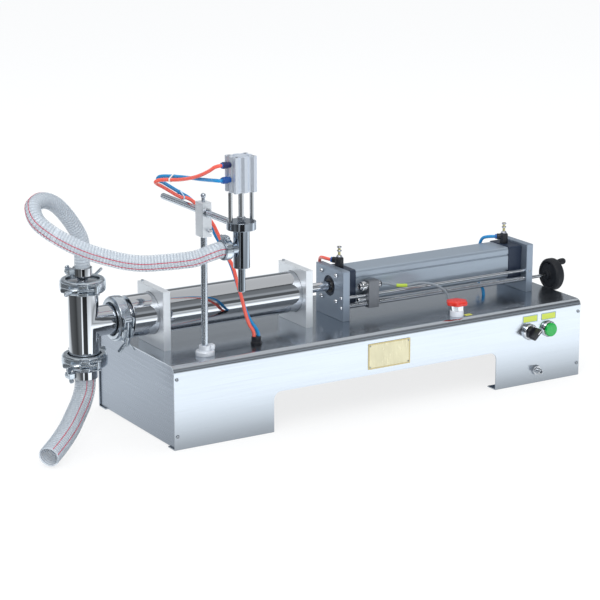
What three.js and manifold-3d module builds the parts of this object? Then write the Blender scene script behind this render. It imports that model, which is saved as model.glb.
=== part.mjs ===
// Piston liquid filler for a bench: a stainless cabinet that carries a product cylinder, the air
// cylinder that drives its piston, a tee with the inlet and outlet valves, and a nozzle on a post.
// Millimetres, +Z up. X runs from the tee to the handwheel, Y from the front to the back.
// While the pieces are built, the zero point is the cabinet's left front bottom corner. At the end
// everything is moved so that it lies at the bottom centre of the solids' common box.
import * as THREE from 'three';
import { mergeVertices } from 'three/addons/utils/BufferGeometryUtils.js';
import Module from 'manifold-3d';

const wasm = await Module();
wasm.setup();

// Clearances and finish of the facets
const gap = 0.3; // between a piece and the bore, socket or face that it sits in
const overrun = 4; // how far a cutting tool runs past the wall that it cuts
const fineSides = 28;
const roundSides = 20;
const smallSides = 12;
const arcSteps = 4; // facets in a quarter of a rounded corner
const lobeSteps = 2; // the same on a wing nut's small wings
const slimCord = 10; // a cord under this diameter gets fewer sides

// Cabinet of bent sheet
const cabinet = {
  length: 840, depth: 285, height: 144, sheet: 2, bend: 11.5,
  leftLeg: 190, rightLeg: 188, arch: 71, archCorner: 14, foot: 25, panelInset: 3, panelFlange: 14,
};
const deck = cabinet.height;
const underDeck = cabinet.height - cabinet.sheet;

// Heights over the deck, drops under it, and distances back from the cabinet's right end
const overDeck = {
  axis: 56, guide: 41, screw: 25, carriageFoot: 18.5, carriageTop: 67.5, sensor: 58, lockPin: 33.8,
  postTop: 228,
};
const belowDeck = { buttons: 45, namePlate: 63, postFoot: 44 };
const fromRight = { rearPlate: 56, selector: 115.5, start: 73.2, airInlet: 99 };

// Axis that the product cylinder and the air cylinder share
const axis = { y: 139, z: deck + overDeck.axis };

// Product cylinder, closed at the tee's end, with its piston and rod
const cylinder = { outer: 72, wall: 3, startX: -16, endX: 318, endWall: 5 };
const piston = { length: 36, runningGap: 0.4, inside: 10, grooveWidth: 5, groove: 3, grooveEdge: 7 };
piston.homeX = cylinder.startX + piston.inside;
const rod = { diameter: 17, spigot: 12 };

// Split blocks that hold the product cylinder
const block = { thick: 14, depth: 94, cover: 10, fromStart: 46, fromEnd: 9.5 };
block.front = axis.y - block.depth / 2;
block.height = overDeck.axis + cylinder.outer / 2 + block.cover;
block.leftX = cylinder.startX + block.fromStart;
block.rightX = cylinder.endX - block.fromEnd;

// Air cylinder between its two mounting plates
const plate = { thick: 14, depth: 91, height: 90, ahead: 47, fromCylinder: 66.5 };
plate.front = axis.y - plate.ahead;
plate.frontX = cylinder.endX + plate.fromCylinder;
plate.rearX = cabinet.length - fromRight.rearPlate;
const cap = { size: 61, frontLength: 23, rearLength: 29, nose: 36, corner: 4, recess: 2 };
const barrel = { size: 58, bore: 50, corner: 5, slotWidth: 5, slotDepth: 4, slotOffset: 15 };
const airPiston = { length: 28, runningGap: 0.4, fromPlate: 47.5 };
airPiston.homeX = plate.frontX + airPiston.fromPlate;

// Stroke adjuster: guide rod, screw, carriage with its sensor, handwheel
const adjuster = { ahead: 11.5, guide: 6, screw: 8.5, journal: 6, journalDepth: 8 };
adjuster.y = axis.y - barrel.size / 2 - adjuster.ahead;
adjuster.guideZ = deck + overDeck.guide;
adjuster.screwZ = deck + overDeck.screw;
const carriage = { fromPlate: 52.5, thick: 21.5, ahead: 9, behind: 8 };
carriage.startX = plate.frontX + carriage.fromPlate;
carriage.frontY = adjuster.y - carriage.ahead;
carriage.backY = adjuster.y + carriage.behind;
carriage.bottomZ = deck + overDeck.carriageFoot;
carriage.topZ = deck + overDeck.carriageTop;
const sensor = { body: 12, nut: 19, nutThick: 8, noseLength: 17, tailLength: 8, ahead: 1 };
sensor.y = adjuster.y - sensor.ahead;
sensor.z = deck + overDeck.sensor;
const lockPin = { diameter: 7.5, length: 18, z: deck + overDeck.lockPin };
const wheel = { past: 1, thick: 15.5, diameter: 60, rim: 8, web: 9, hub: 17, hubLength: 8 };
wheel.startX = cabinet.length + wheel.past;
const crank = { diameter: 12, length: 21, neck: 5, turnRadius: 21.5 };

// One-way flow controls on the air cylinder's caps
const flow = {
  body: 14, height: 19, arm: 11, armReach: 16, armRise: 12.5, needle: 5, knob: 8, knobHeight: 5,
  stem: 20, seat: 6, behindFrontPlate: 21, beforeRearPlate: 19,
};
flow.frontX = plate.frontX + flow.behindFrontPlate;
flow.rearX = plate.rearX - flow.beforeRearPlate;

// Tee with ferrules, clamps, spigots and ball valves
const ferrule = { outer: 64, thick: 3 };
const tee = {
  outer: 50.8, inner: 47.8, rise: 66, drop: 62, reach: 60.5, fromCylinder: 17.5, seatDrop: 40,
  seatThick: 4, pin: 3,
};
tee.branchX = cylinder.startX - tee.fromCylinder;
tee.x = tee.branchX - tee.reach;
tee.topZ = axis.z + tee.rise;
tee.bottomZ = axis.z - tee.drop;
tee.seatZ = tee.topZ - tee.seatDrop;
const clamp = {
  outer: 76, width: 22, lip: 3, ear: 12, earDepth: 36, earShare: 0.8, boltShare: 0.55, front: -0.57 * Math.PI,
  back: 0.43 * Math.PI, branchLean: 0.55 * Math.PI,
};
const wing = { hub: 12, hubLength: 13, length: 20, width: 9, thick: 4, flare: Math.PI / 3.6 };
const screwWing = { hub: 12, hubLength: 11, length: 9, width: 8, thick: 4, flare: Math.PI / 9 };
const ball = { diameter: 28, seat: 22, lift: 4 };
const outlet = { pipe: 19, bore: 14, cover: 7, coverDisc: 50, length: 18, collar: 33 };
outlet.collarZ = tee.topZ + outlet.length;
const inlet = { pipe: 32, bore: 22, cover: 6, coverDisc: 50, length: 20, collar: 42 };
inlet.collarZ = tee.bottomZ - inlet.length;
const collarWall = 2; // the band that grips a hose
const hoseGrip = 12; // how far a hose sits in its band

// Hoses and tubes, outer diameters
const hose = 27;
const suctionHose = 36;
const airTube = 6;
const cable = 4.5;

// Post, bracket and nozzle head
const post = {
  x: 80, y: 39.5, diameter: 11, baseDiameter: 32, baseHeight: 8, knuckle: 20, knuckleHeight: 9, stop: 18,
  stopHeight: 8, lugShare: 0.25,
};
post.topZ = deck + overDeck.postTop;
post.bottomZ = deck - belowDeck.postFoot;
const bracket = { width: 18, depth: 24, height: 58, grip: 25, armRise: 41 };
bracket.bottomZ = post.topZ - bracket.grip;
bracket.topZ = bracket.bottomZ + bracket.height;
bracket.armZ = bracket.bottomZ + bracket.armRise;
const thumb = { shank: 6, ball: 9, neck: 10 };
const arm = { diameter: 11, behindPost: 142.5, neck: 7, neckLength: 6 };
arm.backY = post.y + arm.behindPost;
const head = {
  armRise: 4, flange: 48, flangeThick: 13, body: 27, bodyLength: 63, nozzle: 12, nozzleBore: 8.6,
  nozzleLength: 40, bore: 17, tipTaper: 0.5, y: -86,
};
head.flangeZ = bracket.armZ - head.armRise;
head.bodyBottomZ = head.flangeZ - head.bodyLength;
head.tipZ = head.bodyBottomZ - head.nozzleLength;
const port = { drop: 30, pipe: 19, bore: 13, reach: 24, collar: 33 };
port.z = head.flangeZ - port.drop;
const actuator = {
  width: 40, depth: 34, rise: 48, height: 58, scallop: 3, scallopOffset: 8, capRim: 11, capRecess: 2,
  pillar: 7,
  pillarOffset: 19.5, scallopShare: 0.6,
};
actuator.bottomZ = head.flangeZ + head.flangeThick + actuator.rise;
actuator.topZ = actuator.bottomZ + actuator.height;
const stem = {
  diameter: 9, thin: 5, plug: 8, plugLength: 6, plugTaper: 1, inside: 17, nut: 14, nutRise: 12, nutHeight: 7,
  stroke: 14,
};
stem.topZ = actuator.bottomZ + stem.inside;
stem.nutZ = head.flangeZ + head.flangeThick + stem.nutRise;
const fitting = { diameter: 11, length: 15, upperDrop: 13, lowerRise: 21 };
fitting.upperZ = actuator.topZ - fitting.upperDrop;
fitting.lowerZ = actuator.bottomZ + fitting.lowerRise;
const bulkhead = { x: 186, y: 53, diameter: 19, height: 4, collarHeight: 9, neckShare: 0.85, portOffset: 4.2 };

// Controls
const bezel = { outer: 29.5, thick: 6, barrel: 21.5, barrelLength: 16, nut: 30, nutThick: 5 };
const panelZ = deck - belowDeck.buttons;
const selector = { skirt: 22, skirtThick: 6, lever: 24, leverWidth: 8, leverDepth: 14, stem: 10 };
selector.x = cabinet.length - fromRight.selector;
const start = { cap: 25, rise: 6, travel: 4, stem: 10 };
start.x = cabinet.length - fromRight.start;
const stopButton = {
  x: 581, y: 25, ring: 24.5, ringHeight: 10, collar: 22.5, collarHeight: 9, head: 34, headHeight: 9.5,
  lobes: 6,
  lobeRadius: 5.4, lobeOffset: 15, lobeShare: 0.7, stem: 12, travel: 4, rest: 1, nut: 27, nutThick: 5,
  barrel: 21.5,
  barrelLength: 14,
};
// The stop button's dome and the crank's grip: shares of their width and of their height or length
const stopDomeShares = [[0, 0], [0.8, 0], [1, 0.2], [1, 0.6], [0.7, 0.95], [0, 1]];
const gripShares = [[0.7, 0], [0.7, 0.15], [1, 0.5], [1, 0.8], [0.7, 1], [0, 1]];
const namePlate = { left: 378, width: 87, height: 46, thick: 1, bottom: deck - belowDeck.namePlate };
const airInlet = { z: 25, hex: 16, hexThick: 5, nipple: 10, length: 12, bore: 6, thread: 12, nutThick: 4 };
airInlet.x = cabinet.length - fromRight.airInlet;
const valve = { x: 430, fromBack: 49, length: 150, depth: 46, height: 40, cut: 12, cutDepth: 5, coils: 4 };
valve.y = cabinet.depth - valve.fromBack - valve.depth;

// Routes of hoses, tubes and the cable: points chosen by hand along their centre lines, with their
// heights over the deck. Their ends lie just off the pieces that hold them. The hose and the two
// tubes to the nozzle head are parted at a plane square to X, so that their halves can slide past
// each other when the head moves in and out or up and down.
const hoseSplitX = -75;
const tubeSplitX = 47;
const onDeck = (points, fromX = 0) => points.map(([x, y, z]) => [x + fromX, y, z + deck]);
const portMouthX = post.x - port.reach - hoseGrip - gap;
const hoseRoute = [
  [tee.x, axis.y, outlet.collarZ + gap],
  ...onDeck([
    [-94, 139, 170], [-95, 139, 197], [-105, 138, 218], [-124, 132, 244], [-148, 122, 267],
    [-177, 107, 279], [-201, 88, 274], [-205, 66, 257], [-191, 47, 240], [-169, 31, 224], [-145, 15, 211],
    [-119, 0, 201], [-92, -14, 193], [-66, -30, 190], [-41, -46, 192], [-16, -62, 195], [4, -75, 199],
    [23, -84, 206.5], [37, -86, 210],
  ]),
  [portMouthX, head.y, port.z],
];
const suctionRoute = [
  [tee.x, axis.y, inlet.collarZ - gap],
  ...onDeck([
    [-94, 139, -46], [-98, 136, -62], [-109, 127, -78], [-127, 110, -91], [-152, 83, -103],
    [-181, 55, -113], [-215, 26, -123],
  ]),
];
const fittingMouthX = post.x - actuator.width / 2 - fitting.length - gap;
const unionMouthZ = deck + bulkhead.height + bulkhead.collarHeight + gap;
const redRoute = [
  [fittingMouthX, head.y, fitting.upperZ],
  ...onDeck([
    [41.5, -86, 346], [37, -80, 343.5], [34.5, -66, 335.5], [32, -48, 327], [30, -28, 319.5],
    [28, -8, 313.5], [26, 12, 308.5], [22.5, 30, 305], [17, 46, 303], [9, 58, 301], [6.5, 66, 297],
    [12.5, 73, 292], [23, 78, 286], [34, 82, 279.5], [46, 86, 272], [58, 90, 264.5], [69, 94, 259],
    [80, 98, 256.5], [91, 98, 250], [101, 96, 240], [112, 91.5, 226], [123, 86, 209], [128, 83, 197],
    [132, 80, 186], [139, 75, 168], [144.5, 70.5, 149], [149.5, 67.5, 138], [153, 63.5, 120],
    [155.5, 59, 102], [160, 56, 83], [166, 55, 58], [173.5, 54, 35], [179.5, 53.2, 25], [181.8, 53, 17],
  ]),
  [bulkhead.x - bulkhead.portOffset, bulkhead.y, unionMouthZ],
];
const blueRoute = [
  [fittingMouthX, head.y, fitting.lowerZ],
  ...onDeck([
    [41.5, -86, 322], [38.3, -79, 321.6], [38, -68, 320], [37.4, -48, 317.4], [36.1, -27, 315],
    [34.8, -6, 313], [32.8, 14, 311], [29.5, 32, 309.2], [25.7, 49, 307.3], [20.2, 63, 305.6],
    [16.6, 72, 303.2], [17, 79, 298.6], [25, 87, 293], [34, 92, 288.5], [44.5, 96, 282],
    [56.5, 100, 274.5], [68.5, 104, 267], [79, 107.5, 260.5], [90, 109, 253.5], [103, 107, 240],
    [114, 103.5, 223], [122.5, 99.5, 207], [128, 96, 196], [131.5, 93, 187], [137.5, 88, 173],
    [144, 82, 157], [150, 78, 142], [154, 76, 130], [158, 73, 114], [161, 70, 100], [165, 66, 81],
    [171, 62.5, 59], [179, 59, 39], [187, 55.5, 26], [190.2, 53, 17],
  ]),
  [bulkhead.x + bulkhead.portOffset, bulkhead.y, unionMouthZ],
];
const cableRoute = onDeck([
  [0.8, 97.5, 58], [11.5, 94, 57.5], [26.5, 88, 53.5], [47.5, 82, 52], [68.5, 78, 54], [89.5, 73, 51],
  [107.5, 68, 43], [118.5, 64, 32], [121.5, 61, 18], [122.5, 60, 6], [122.5, 60, 0.3],
], carriage.startX + carriage.thick + sensor.tailLength);
const barrelRedRoute = onDeck([
  [-8.2, 153.2, 99], [-10.2, 156.7, 99], [-11.7, 166, 99], [-11, 177, 98], [-9.5, 187, 95.5],
  [-6.5, 194.5, 87], [-4.5, 198, 75], [-3.5, 198.5, 60], [-3.5, 198.5, 36], [-3.5, 198.5, -8],
], flow.frontX);
const barrelBlueRoute = onDeck([
  [-14.2, 147.2, 99], [-17.7, 149.2, 99], [-24.5, 156.5, 97.8], [-28, 165.5, 94], [-28, 173.5, 84.5],
  [-27, 178.5, 68], [-27, 179, 50], [-27, 179, 36], [-29.5, 175.5, 24], [-37, 165, 16.5],
  [-48, 147, 14.5], [-56, 130, 14], [-60, 119, 11], [-61, 115, 3], [-61, 115, -8],
], flow.rearX);

// Finishes
function finish(name, color, roughness, metalness) {
  return new THREE.MeshStandardMaterial({ name, color, roughness, metalness });
}
const brushed = finish('brushed stainless', 0xaab2ba, 0.35, 1);
const polished = finish('polished stainless', 0xc4c8cc, 0.12, 1);
const milled = finish('milled aluminium', 0xc2c8ce, 0.45, 0.9);
const cast = finish('cast stainless', 0x9da2a6, 0.4, 0.9);
const black = finish('black anodised', 0x1c2430, 0.5, 0.4);
const rubber = finish('black rubber', 0x16181c, 0.8, 0);
const chrome = finish('chrome', 0xd8dce0, 0.08, 1);
const brass = finish('nickelled brass', 0xb09a62, 0.3, 0.9);
const redPlastic = finish('red plastic', 0xd02c14, 0.35, 0);
const bluePlastic = finish('blue plastic', 0x1e82c8, 0.35, 0);
const greenPlastic = finish('green plastic', 0x00a028, 0.35, 0);
const paleBrass = finish('pale brass plate', 0xbdb184, 0.4, 0.7);
const clear = finish('clear hose', 0xdfe6ea, 0.2, 0);
const white = finish('white seal plastic', 0xe6e6e0, 0.5, 0);
const greyCable = finish('grey cable', 0x8f98a2, 0.6, 0);

// Solids: drawn with three.js, joined and cut with manifold
function tidy(geometry) {
  const bare = geometry.index ? geometry.toNonIndexed() : geometry.clone();
  bare.deleteAttribute('normal');
  bare.deleteAttribute('uv');
  const merged = mergeVertices(bare, 1e-4);
  const index = [];
  for (let i = 0; i < merged.index.count; i += 3) {
    const corners = [0, 1, 2].map((k) => merged.index.getX(i + k));
    if (new Set(corners).size === 3) index.push(...corners);
  }
  merged.setIndex(index);
  return merged;
}

function toSolid(geometry) {
  const closed = tidy(geometry);
  const vertProperties = new Float32Array(closed.attributes.position.array);
  const triVerts = new Uint32Array(closed.index.array);
  return new wasm.Manifold(new wasm.Mesh({ numProp: 3, vertProperties, triVerts }));
}

function fromSolid(solid) {
  const { numProp, vertProperties, triVerts } = solid.getMesh();
  const positions = new Float32Array((vertProperties.length / numProp) * 3);
  for (let i = 0; i < positions.length / 3; i += 1) {
    for (let k = 0; k < 3; k += 1) positions[i * 3 + k] = vertProperties[i * numProp + k];
  }
  const geometry = new THREE.BufferGeometry();
  geometry.setAttribute('position', new THREE.BufferAttribute(positions, 3));
  geometry.setIndex([...triVerts]);
  return geometry;
}

function join(...geometries) {
  return fromSolid(geometries.map(toSolid).reduce((whole, next) => whole.add(next)));
}

function cut(body, ...tools) {
  return fromSolid(tools.map(toSolid).reduce((left, tool) => left.subtract(tool), toSolid(body)));
}

// Directions that a drawn shape or a turned profile is laid along
const X = new THREE.Vector3(1, 0, 0);
const Y = new THREE.Vector3(0, 1, 0);
const Z = new THREE.Vector3(0, 0, 1);
const minusY = Y.clone().negate();
const minusZ = Z.clone().negate();
const basis = (a, b, c) => new THREE.Matrix4().makeBasis(a, b, c);
const turnedAlong = { x: basis(Y, X, minusZ), y: new THREE.Matrix4(), z: basis(X, Z, minusY) };
const extrudedAlong = { x: basis(Y, Z, X), minusY: basis(X, Z, minusY), z: new THREE.Matrix4() };

function box(x0, x1, y0, y1, z0, z1) {
  const geometry = new THREE.BoxGeometry(x1 - x0, y1 - y0, z1 - z0);
  return geometry.translate((x0 + x1) / 2, (y0 + y1) / 2, (z0 + z1) / 2);
}

// A cylinder along 'x', 'y' or 'z' from one coordinate to another; across holds its other two
function round(direction, from, to, across, diameter, sides = roundSides) {
  const geometry = new THREE.CylinderGeometry(diameter / 2, diameter / 2, to - from, sides);
  geometry.applyMatrix4(turnedAlong[direction]);
  return place(geometry, direction, (from + to) / 2, across);
}

// A turned piece: its profile holds [diameter, distance along the axis] from the axis or closed
function turned(direction, profile, across, sides = roundSides) {
  const points = profile.map(([diameter, along]) => new THREE.Vector2(diameter / 2, along));
  const geometry = new THREE.LatheGeometry(points, sides);
  geometry.applyMatrix4(turnedAlong[direction]);
  return place(geometry, direction, 0, across);
}

function place(geometry, direction, along, [a, b]) {
  if (direction === 'x') return geometry.translate(along, a, b);
  if (direction === 'y') return geometry.translate(a, along, b);
  return geometry.translate(a, b, along);
}

function ring(direction, from, to, across, outer, inner, sides = roundSides) {
  const profile = [[inner, from], [outer, from], [outer, to], [inner, to], [inner, from]];
  return turned(direction, profile, across, sides);
}

function hexagon(direction, from, to, across, acrossFlats) {
  return round(direction, from, to, across, acrossFlats / Math.cos(Math.PI / 6), 6);
}

function extruded(shape, depth, direction, curveSegments = arcSteps) {
  const geometry = new THREE.ExtrudeGeometry(shape, { depth, bevelEnabled: false, curveSegments });
  return geometry.applyMatrix4(extrudedAlong[direction]);
}

function roundedRectangle(width, height, corner) {
  const [w, h] = [width / 2, height / 2];
  const shape = new THREE.Shape();
  shape.moveTo(-w + corner, -h);
  shape.lineTo(w - corner, -h);
  shape.absarc(w - corner, -h + corner, corner, -Math.PI / 2, 0);
  shape.lineTo(w, h - corner);
  shape.absarc(w - corner, h - corner, corner, 0, Math.PI / 2);
  shape.lineTo(-w + corner, h);
  shape.absarc(-w + corner, h - corner, corner, Math.PI / 2, Math.PI);
  shape.lineTo(-w, -h + corner);
  shape.absarc(-w + corner, -h + corner, corner, Math.PI, (3 * Math.PI) / 2);
  return shape;
}

// A hose, tube or cable: a round section carried along a smooth line through its route
function cord(route, diameter) {
  const points = route.map((point) => new THREE.Vector3(...point));
  const line = new THREE.CatmullRomCurve3(points, false, 'centripetal');
  const sides = diameter < slimCord ? 8 : 12;
  const section = new THREE.Shape(
    Array.from({ length: sides }, (_, i) => {
      const angle = (2 * Math.PI * i) / sides;
      return new THREE.Vector2((diameter / 2) * Math.cos(angle), (diameter / 2) * Math.sin(angle));
    }),
  );
  const steps = Math.max(8, Math.round(line.getLength() / (2.2 * diameter)));
  return new THREE.ExtrudeGeometry(section, { steps, extrudePath: line, bevelEnabled: false });
}

const machine = new THREE.Group();
const cords = new THREE.Group();

function add(name, geometry, material, group = machine) {
  const mesh = new THREE.Mesh(tidy(geometry), material);
  mesh.name = name;
  group.add(mesh);
  return mesh;
}

// Cabinet: one bent sheet for deck, front and back, with an arch cut through both skirts
function skirtProfile() {
  const { depth, height, sheet, bend, foot } = cabinet;
  const inner = bend - sheet;
  const shape = new THREE.Shape();
  shape.moveTo(foot, 0);
  shape.lineTo(foot, sheet);
  shape.lineTo(sheet, sheet);
  shape.lineTo(sheet, height - bend);
  shape.absarc(bend, height - bend, inner, Math.PI, Math.PI / 2, true);
  shape.lineTo(depth - bend, height - sheet);
  shape.absarc(depth - bend, height - bend, inner, Math.PI / 2, 0, true);
  shape.lineTo(depth - sheet, sheet);
  shape.lineTo(depth - foot, sheet);
  shape.lineTo(depth - foot, 0);
  shape.lineTo(depth, 0);
  shape.lineTo(depth, height - bend);
  shape.absarc(depth - bend, height - bend, bend, 0, Math.PI / 2);
  shape.lineTo(bend, height);
  shape.absarc(bend, height - bend, bend, Math.PI / 2, Math.PI);
  shape.lineTo(0, 0);
  return shape;
}

function archTool() {
  const { length, depth, leftLeg, rightLeg, arch, archCorner } = cabinet;
  const shape = new THREE.Shape();
  const right = length - rightLeg;
  shape.moveTo(leftLeg, -overrun);
  shape.lineTo(right, -overrun);
  shape.lineTo(right, arch - archCorner);
  shape.absarc(right - archCorner, arch - archCorner, archCorner, 0, Math.PI / 2);
  shape.lineTo(leftLeg + archCorner, arch);
  shape.absarc(leftLeg + archCorner, arch - archCorner, archCorner, Math.PI / 2, Math.PI);
  return extruded(shape, depth + 2 * overrun, 'minusY').translate(0, depth + overrun, 0);
}

// Places where a cord goes down through the deck, with the cord's diameter
const deckHoles = [
  [barrelRedRoute.at(-1), airTube],
  [barrelBlueRoute.at(-1), airTube],
  [cableRoute.at(-1), cable],
];

function buildCabinet() {
  const { length, sheet } = cabinet;
  const front = [-overrun, sheet + overrun];
  const top = [underDeck - overrun, deck + overrun];
  const postHole = post.diameter + 2 * gap;
  const tools = [
    archTool(),
    round('y', ...front, [selector.x, panelZ], bezel.barrel + 2 * gap),
    round('y', ...front, [start.x, panelZ], bezel.barrel + 2 * gap),
    round('y', ...front, [airInlet.x, airInlet.z], airInlet.thread + 2 * gap, smallSides),
    round('z', ...top, [stopButton.x, stopButton.y], stopButton.barrel + 2 * gap),
    round('z', ...top, [post.x, post.y], postHole, smallSides),
    round('z', ...top, [bulkhead.x, bulkhead.y], bulkhead.diameter - 2 * sheet, smallSides),
    ...deckHoles.map(([[x, y], size]) => round('z', ...top, [x, y], size + 4 * gap, smallSides)),
  ];
  add('cabinet_shell', cut(extruded(skirtProfile(), length, 'x'), ...tools), brushed);
}

// End panels: flat sheets just inside the shell, with a flange that the front screws reach
function panelShape() {
  const { depth, height, sheet, bend } = cabinet;
  const edge = sheet + gap;
  const corner = bend - edge;
  const shape = new THREE.Shape();
  shape.moveTo(edge, edge);
  shape.lineTo(depth - edge, edge);
  shape.lineTo(depth - edge, height - bend);
  shape.absarc(depth - bend, height - bend, corner, 0, Math.PI / 2);
  shape.lineTo(bend, height - edge);
  shape.absarc(bend, height - bend, corner, Math.PI / 2, Math.PI);
  return shape;
}

function endPanel(name, faceX, flangeX) {
  const { sheet, panelFlange, depth, height, bend } = cabinet;
  const edge = sheet + gap;
  const flange = (y) => box(flangeX, flangeX + panelFlange, y, y + sheet, edge, height - bend);
  const face = extruded(panelShape(), sheet, 'x').translate(faceX, 0, 0);
  add(name, join(face, flange(edge), flange(depth - edge - sheet)), brushed);
}

function buildEndPanels() {
  const { length, sheet, panelInset, panelFlange } = cabinet;
  endPanel('left_end_panel', panelInset, panelInset);
  endPanel('right_end_panel', length - panelInset - sheet, length - panelInset - panelFlange);
}

function buildFrontPlates() {
  const { left, width, bottom, height, thick } = namePlate;
  add('nameplate', box(left, left + width, -thick, 0, bottom, bottom + height), paleBrass);
}

// Panel buttons: a bezel in front of the sheet, its threaded barrel through it and a nut behind
function panelBezel(x, stemDiameter) {
  const { sheet } = cabinet;
  const { outer, thick, barrel: thread, barrelLength, nut, nutThick } = bezel;
  const bore = stemDiameter + 2 * gap;
  const seat = thick - gap;
  const front = ring('y', -thick, 0, [x, panelZ], outer, bore);
  const barrelRing = ring('y', -seat, sheet + barrelLength, [x, panelZ], thread, bore);
  const nutRing = cut(
    hexagon('y', sheet, sheet + nutThick, [x, panelZ], nut),
    round('y', sheet - overrun, sheet + nutThick + overrun, [x, panelZ], thread - 2 * gap),
  );
  return join(front, barrelRing, nutRing);
}

function buildPanelControls() {
  const { sheet } = cabinet;
  add('selector_bezel', panelBezel(selector.x, selector.stem), chrome);
  const selectorFace = -bezel.thick - gap;
  const lever = extruded(roundedRectangle(selector.lever, selector.leverWidth, selector.leverWidth / 3),
    selector.leverDepth, 'minusY');
  lever.rotateY(-Math.PI / 4);
  lever.translate(selector.x, selectorFace - selector.skirtThick, panelZ);
  add('selector_knob', join(
    round('y', selectorFace - selector.skirtThick, selectorFace, [selector.x, panelZ], selector.skirt),
    round('y', selectorFace - overrun, sheet + bezel.barrelLength, [selector.x, panelZ], selector.stem, smallSides),
    lever,
  ), black);

  // The start button sits proud of its bezel by its rise and is pressed in by its travel
  const well = bezel.thick - sheet;
  const wellTool = round('y', -bezel.thick - overrun, -bezel.thick + well, [start.x, panelZ], start.cap + 2 * gap);
  add('start_bezel', cut(panelBezel(start.x, start.stem), wellTool), chrome);
  const back = -bezel.thick + well - start.travel - gap;
  add('start_button', join(
    round('y', -bezel.thick - start.rise, back, [start.x, panelZ], start.cap),
    round('y', back - gap, bezel.barrelLength - start.travel, [start.x, panelZ], start.stem, smallSides),
  ), greenPlastic);
}

// Emergency stop on the deck: white ring and chrome collar, red head with lobes for the fingers
function buildStopButton() {
  const s = stopButton;
  const at = [s.x, s.y];
  const ringTop = deck + s.ringHeight;
  const collarTop = ringTop + s.collarHeight;
  const bore = s.stem + 2 * gap;
  add('estop_base', join(
    ring('z', deck, ringTop, at, s.ring, bore),
    ring('z', ringTop - gap, collarTop, at, s.collar, bore),
    ring('z', underDeck - s.barrelLength, deck + gap, at, s.barrel, bore),
    ring('z', underDeck - s.nutThick, underDeck, at, s.nut, s.barrel - 2 * gap),
  ), chrome);
  const headBottom = collarTop + s.rest;
  const lobes = Array.from({ length: s.lobes }, (_, i) => {
    const angle = (2 * Math.PI * i) / s.lobes;
    const centre = [s.x + s.lobeOffset * Math.cos(angle), s.y + s.lobeOffset * Math.sin(angle)];
    return round('z', headBottom, headBottom + s.headHeight * s.lobeShare, centre, 2 * s.lobeRadius, smallSides);
  });
  const dome = turned('z', stopDomeShares.map(([width, height]) => (
    [s.head * width, headBottom + s.headHeight * height]
  )), at);
  const recess = round('z', headBottom - overrun, headBottom + s.travel, at, s.collar + 4 * gap);
  const stemRound = round('z', underDeck - s.barrelLength, headBottom + s.travel + gap, at, s.stem, smallSides);
  add('estop_head', join(cut(join(dome, ...lobes), recess), stemRound), redPlastic);
}

// Air inlet on the right leg, and the valve block that hangs under the deck
function buildAirSupply() {
  const a = airInlet;
  const across = [a.x, a.z];
  const { sheet } = cabinet;
  const inside = sheet + a.nutThick + gap;
  add('air_inlet', cut(
    join(
      hexagon('y', -a.hexThick, 0, across, a.hex),
      round('y', -a.hexThick - a.length, -a.hexThick + gap, across, a.nipple, smallSides),
      round('y', -gap, inside, across, a.thread, smallSides),
      hexagon('y', sheet, sheet + a.nutThick, across, a.hex),
    ),
    round('y', -a.hexThick - a.length - overrun, inside + overrun, across, a.bore, smallSides),
  ), chrome);

  const v = valve;
  const pitch = v.length / v.coils;
  const grooves = Array.from({ length: v.coils - 1 }, (_, i) => {
    const x = v.x + pitch * (i + 1);
    return box(x - v.cut / 2, x + v.cut / 2, v.y - overrun, v.y + v.cutDepth,
      underDeck - v.height - overrun, underDeck - v.cutDepth);
  });
  add('control_valve', cut(
    box(v.x, v.x + v.length, v.y, v.y + v.depth, underDeck - v.height, underDeck), ...grooves), black);
}

// Split blocks: a lower half on the deck and an upper half bolted down over the cylinder
function buildBlocks() {
  const bore = cylinder.outer + 2 * gap;
  for (const [side, x] of [['left', block.leftX], ['right', block.rightX]]) {
    const tool = round('x', x - overrun, x + block.thick + overrun, [axis.y, axis.z], bore, fineSides);
    const back = block.front + block.depth;
    const top = deck + block.height;
    add(`block_${side}_lower`, cut(box(x, x + block.thick, block.front, back, deck, axis.z), tool), milled);
    add(`block_${side}_upper`, cut(box(x, x + block.thick, block.front, back, axis.z, top), tool), milled);
  }
}

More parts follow.
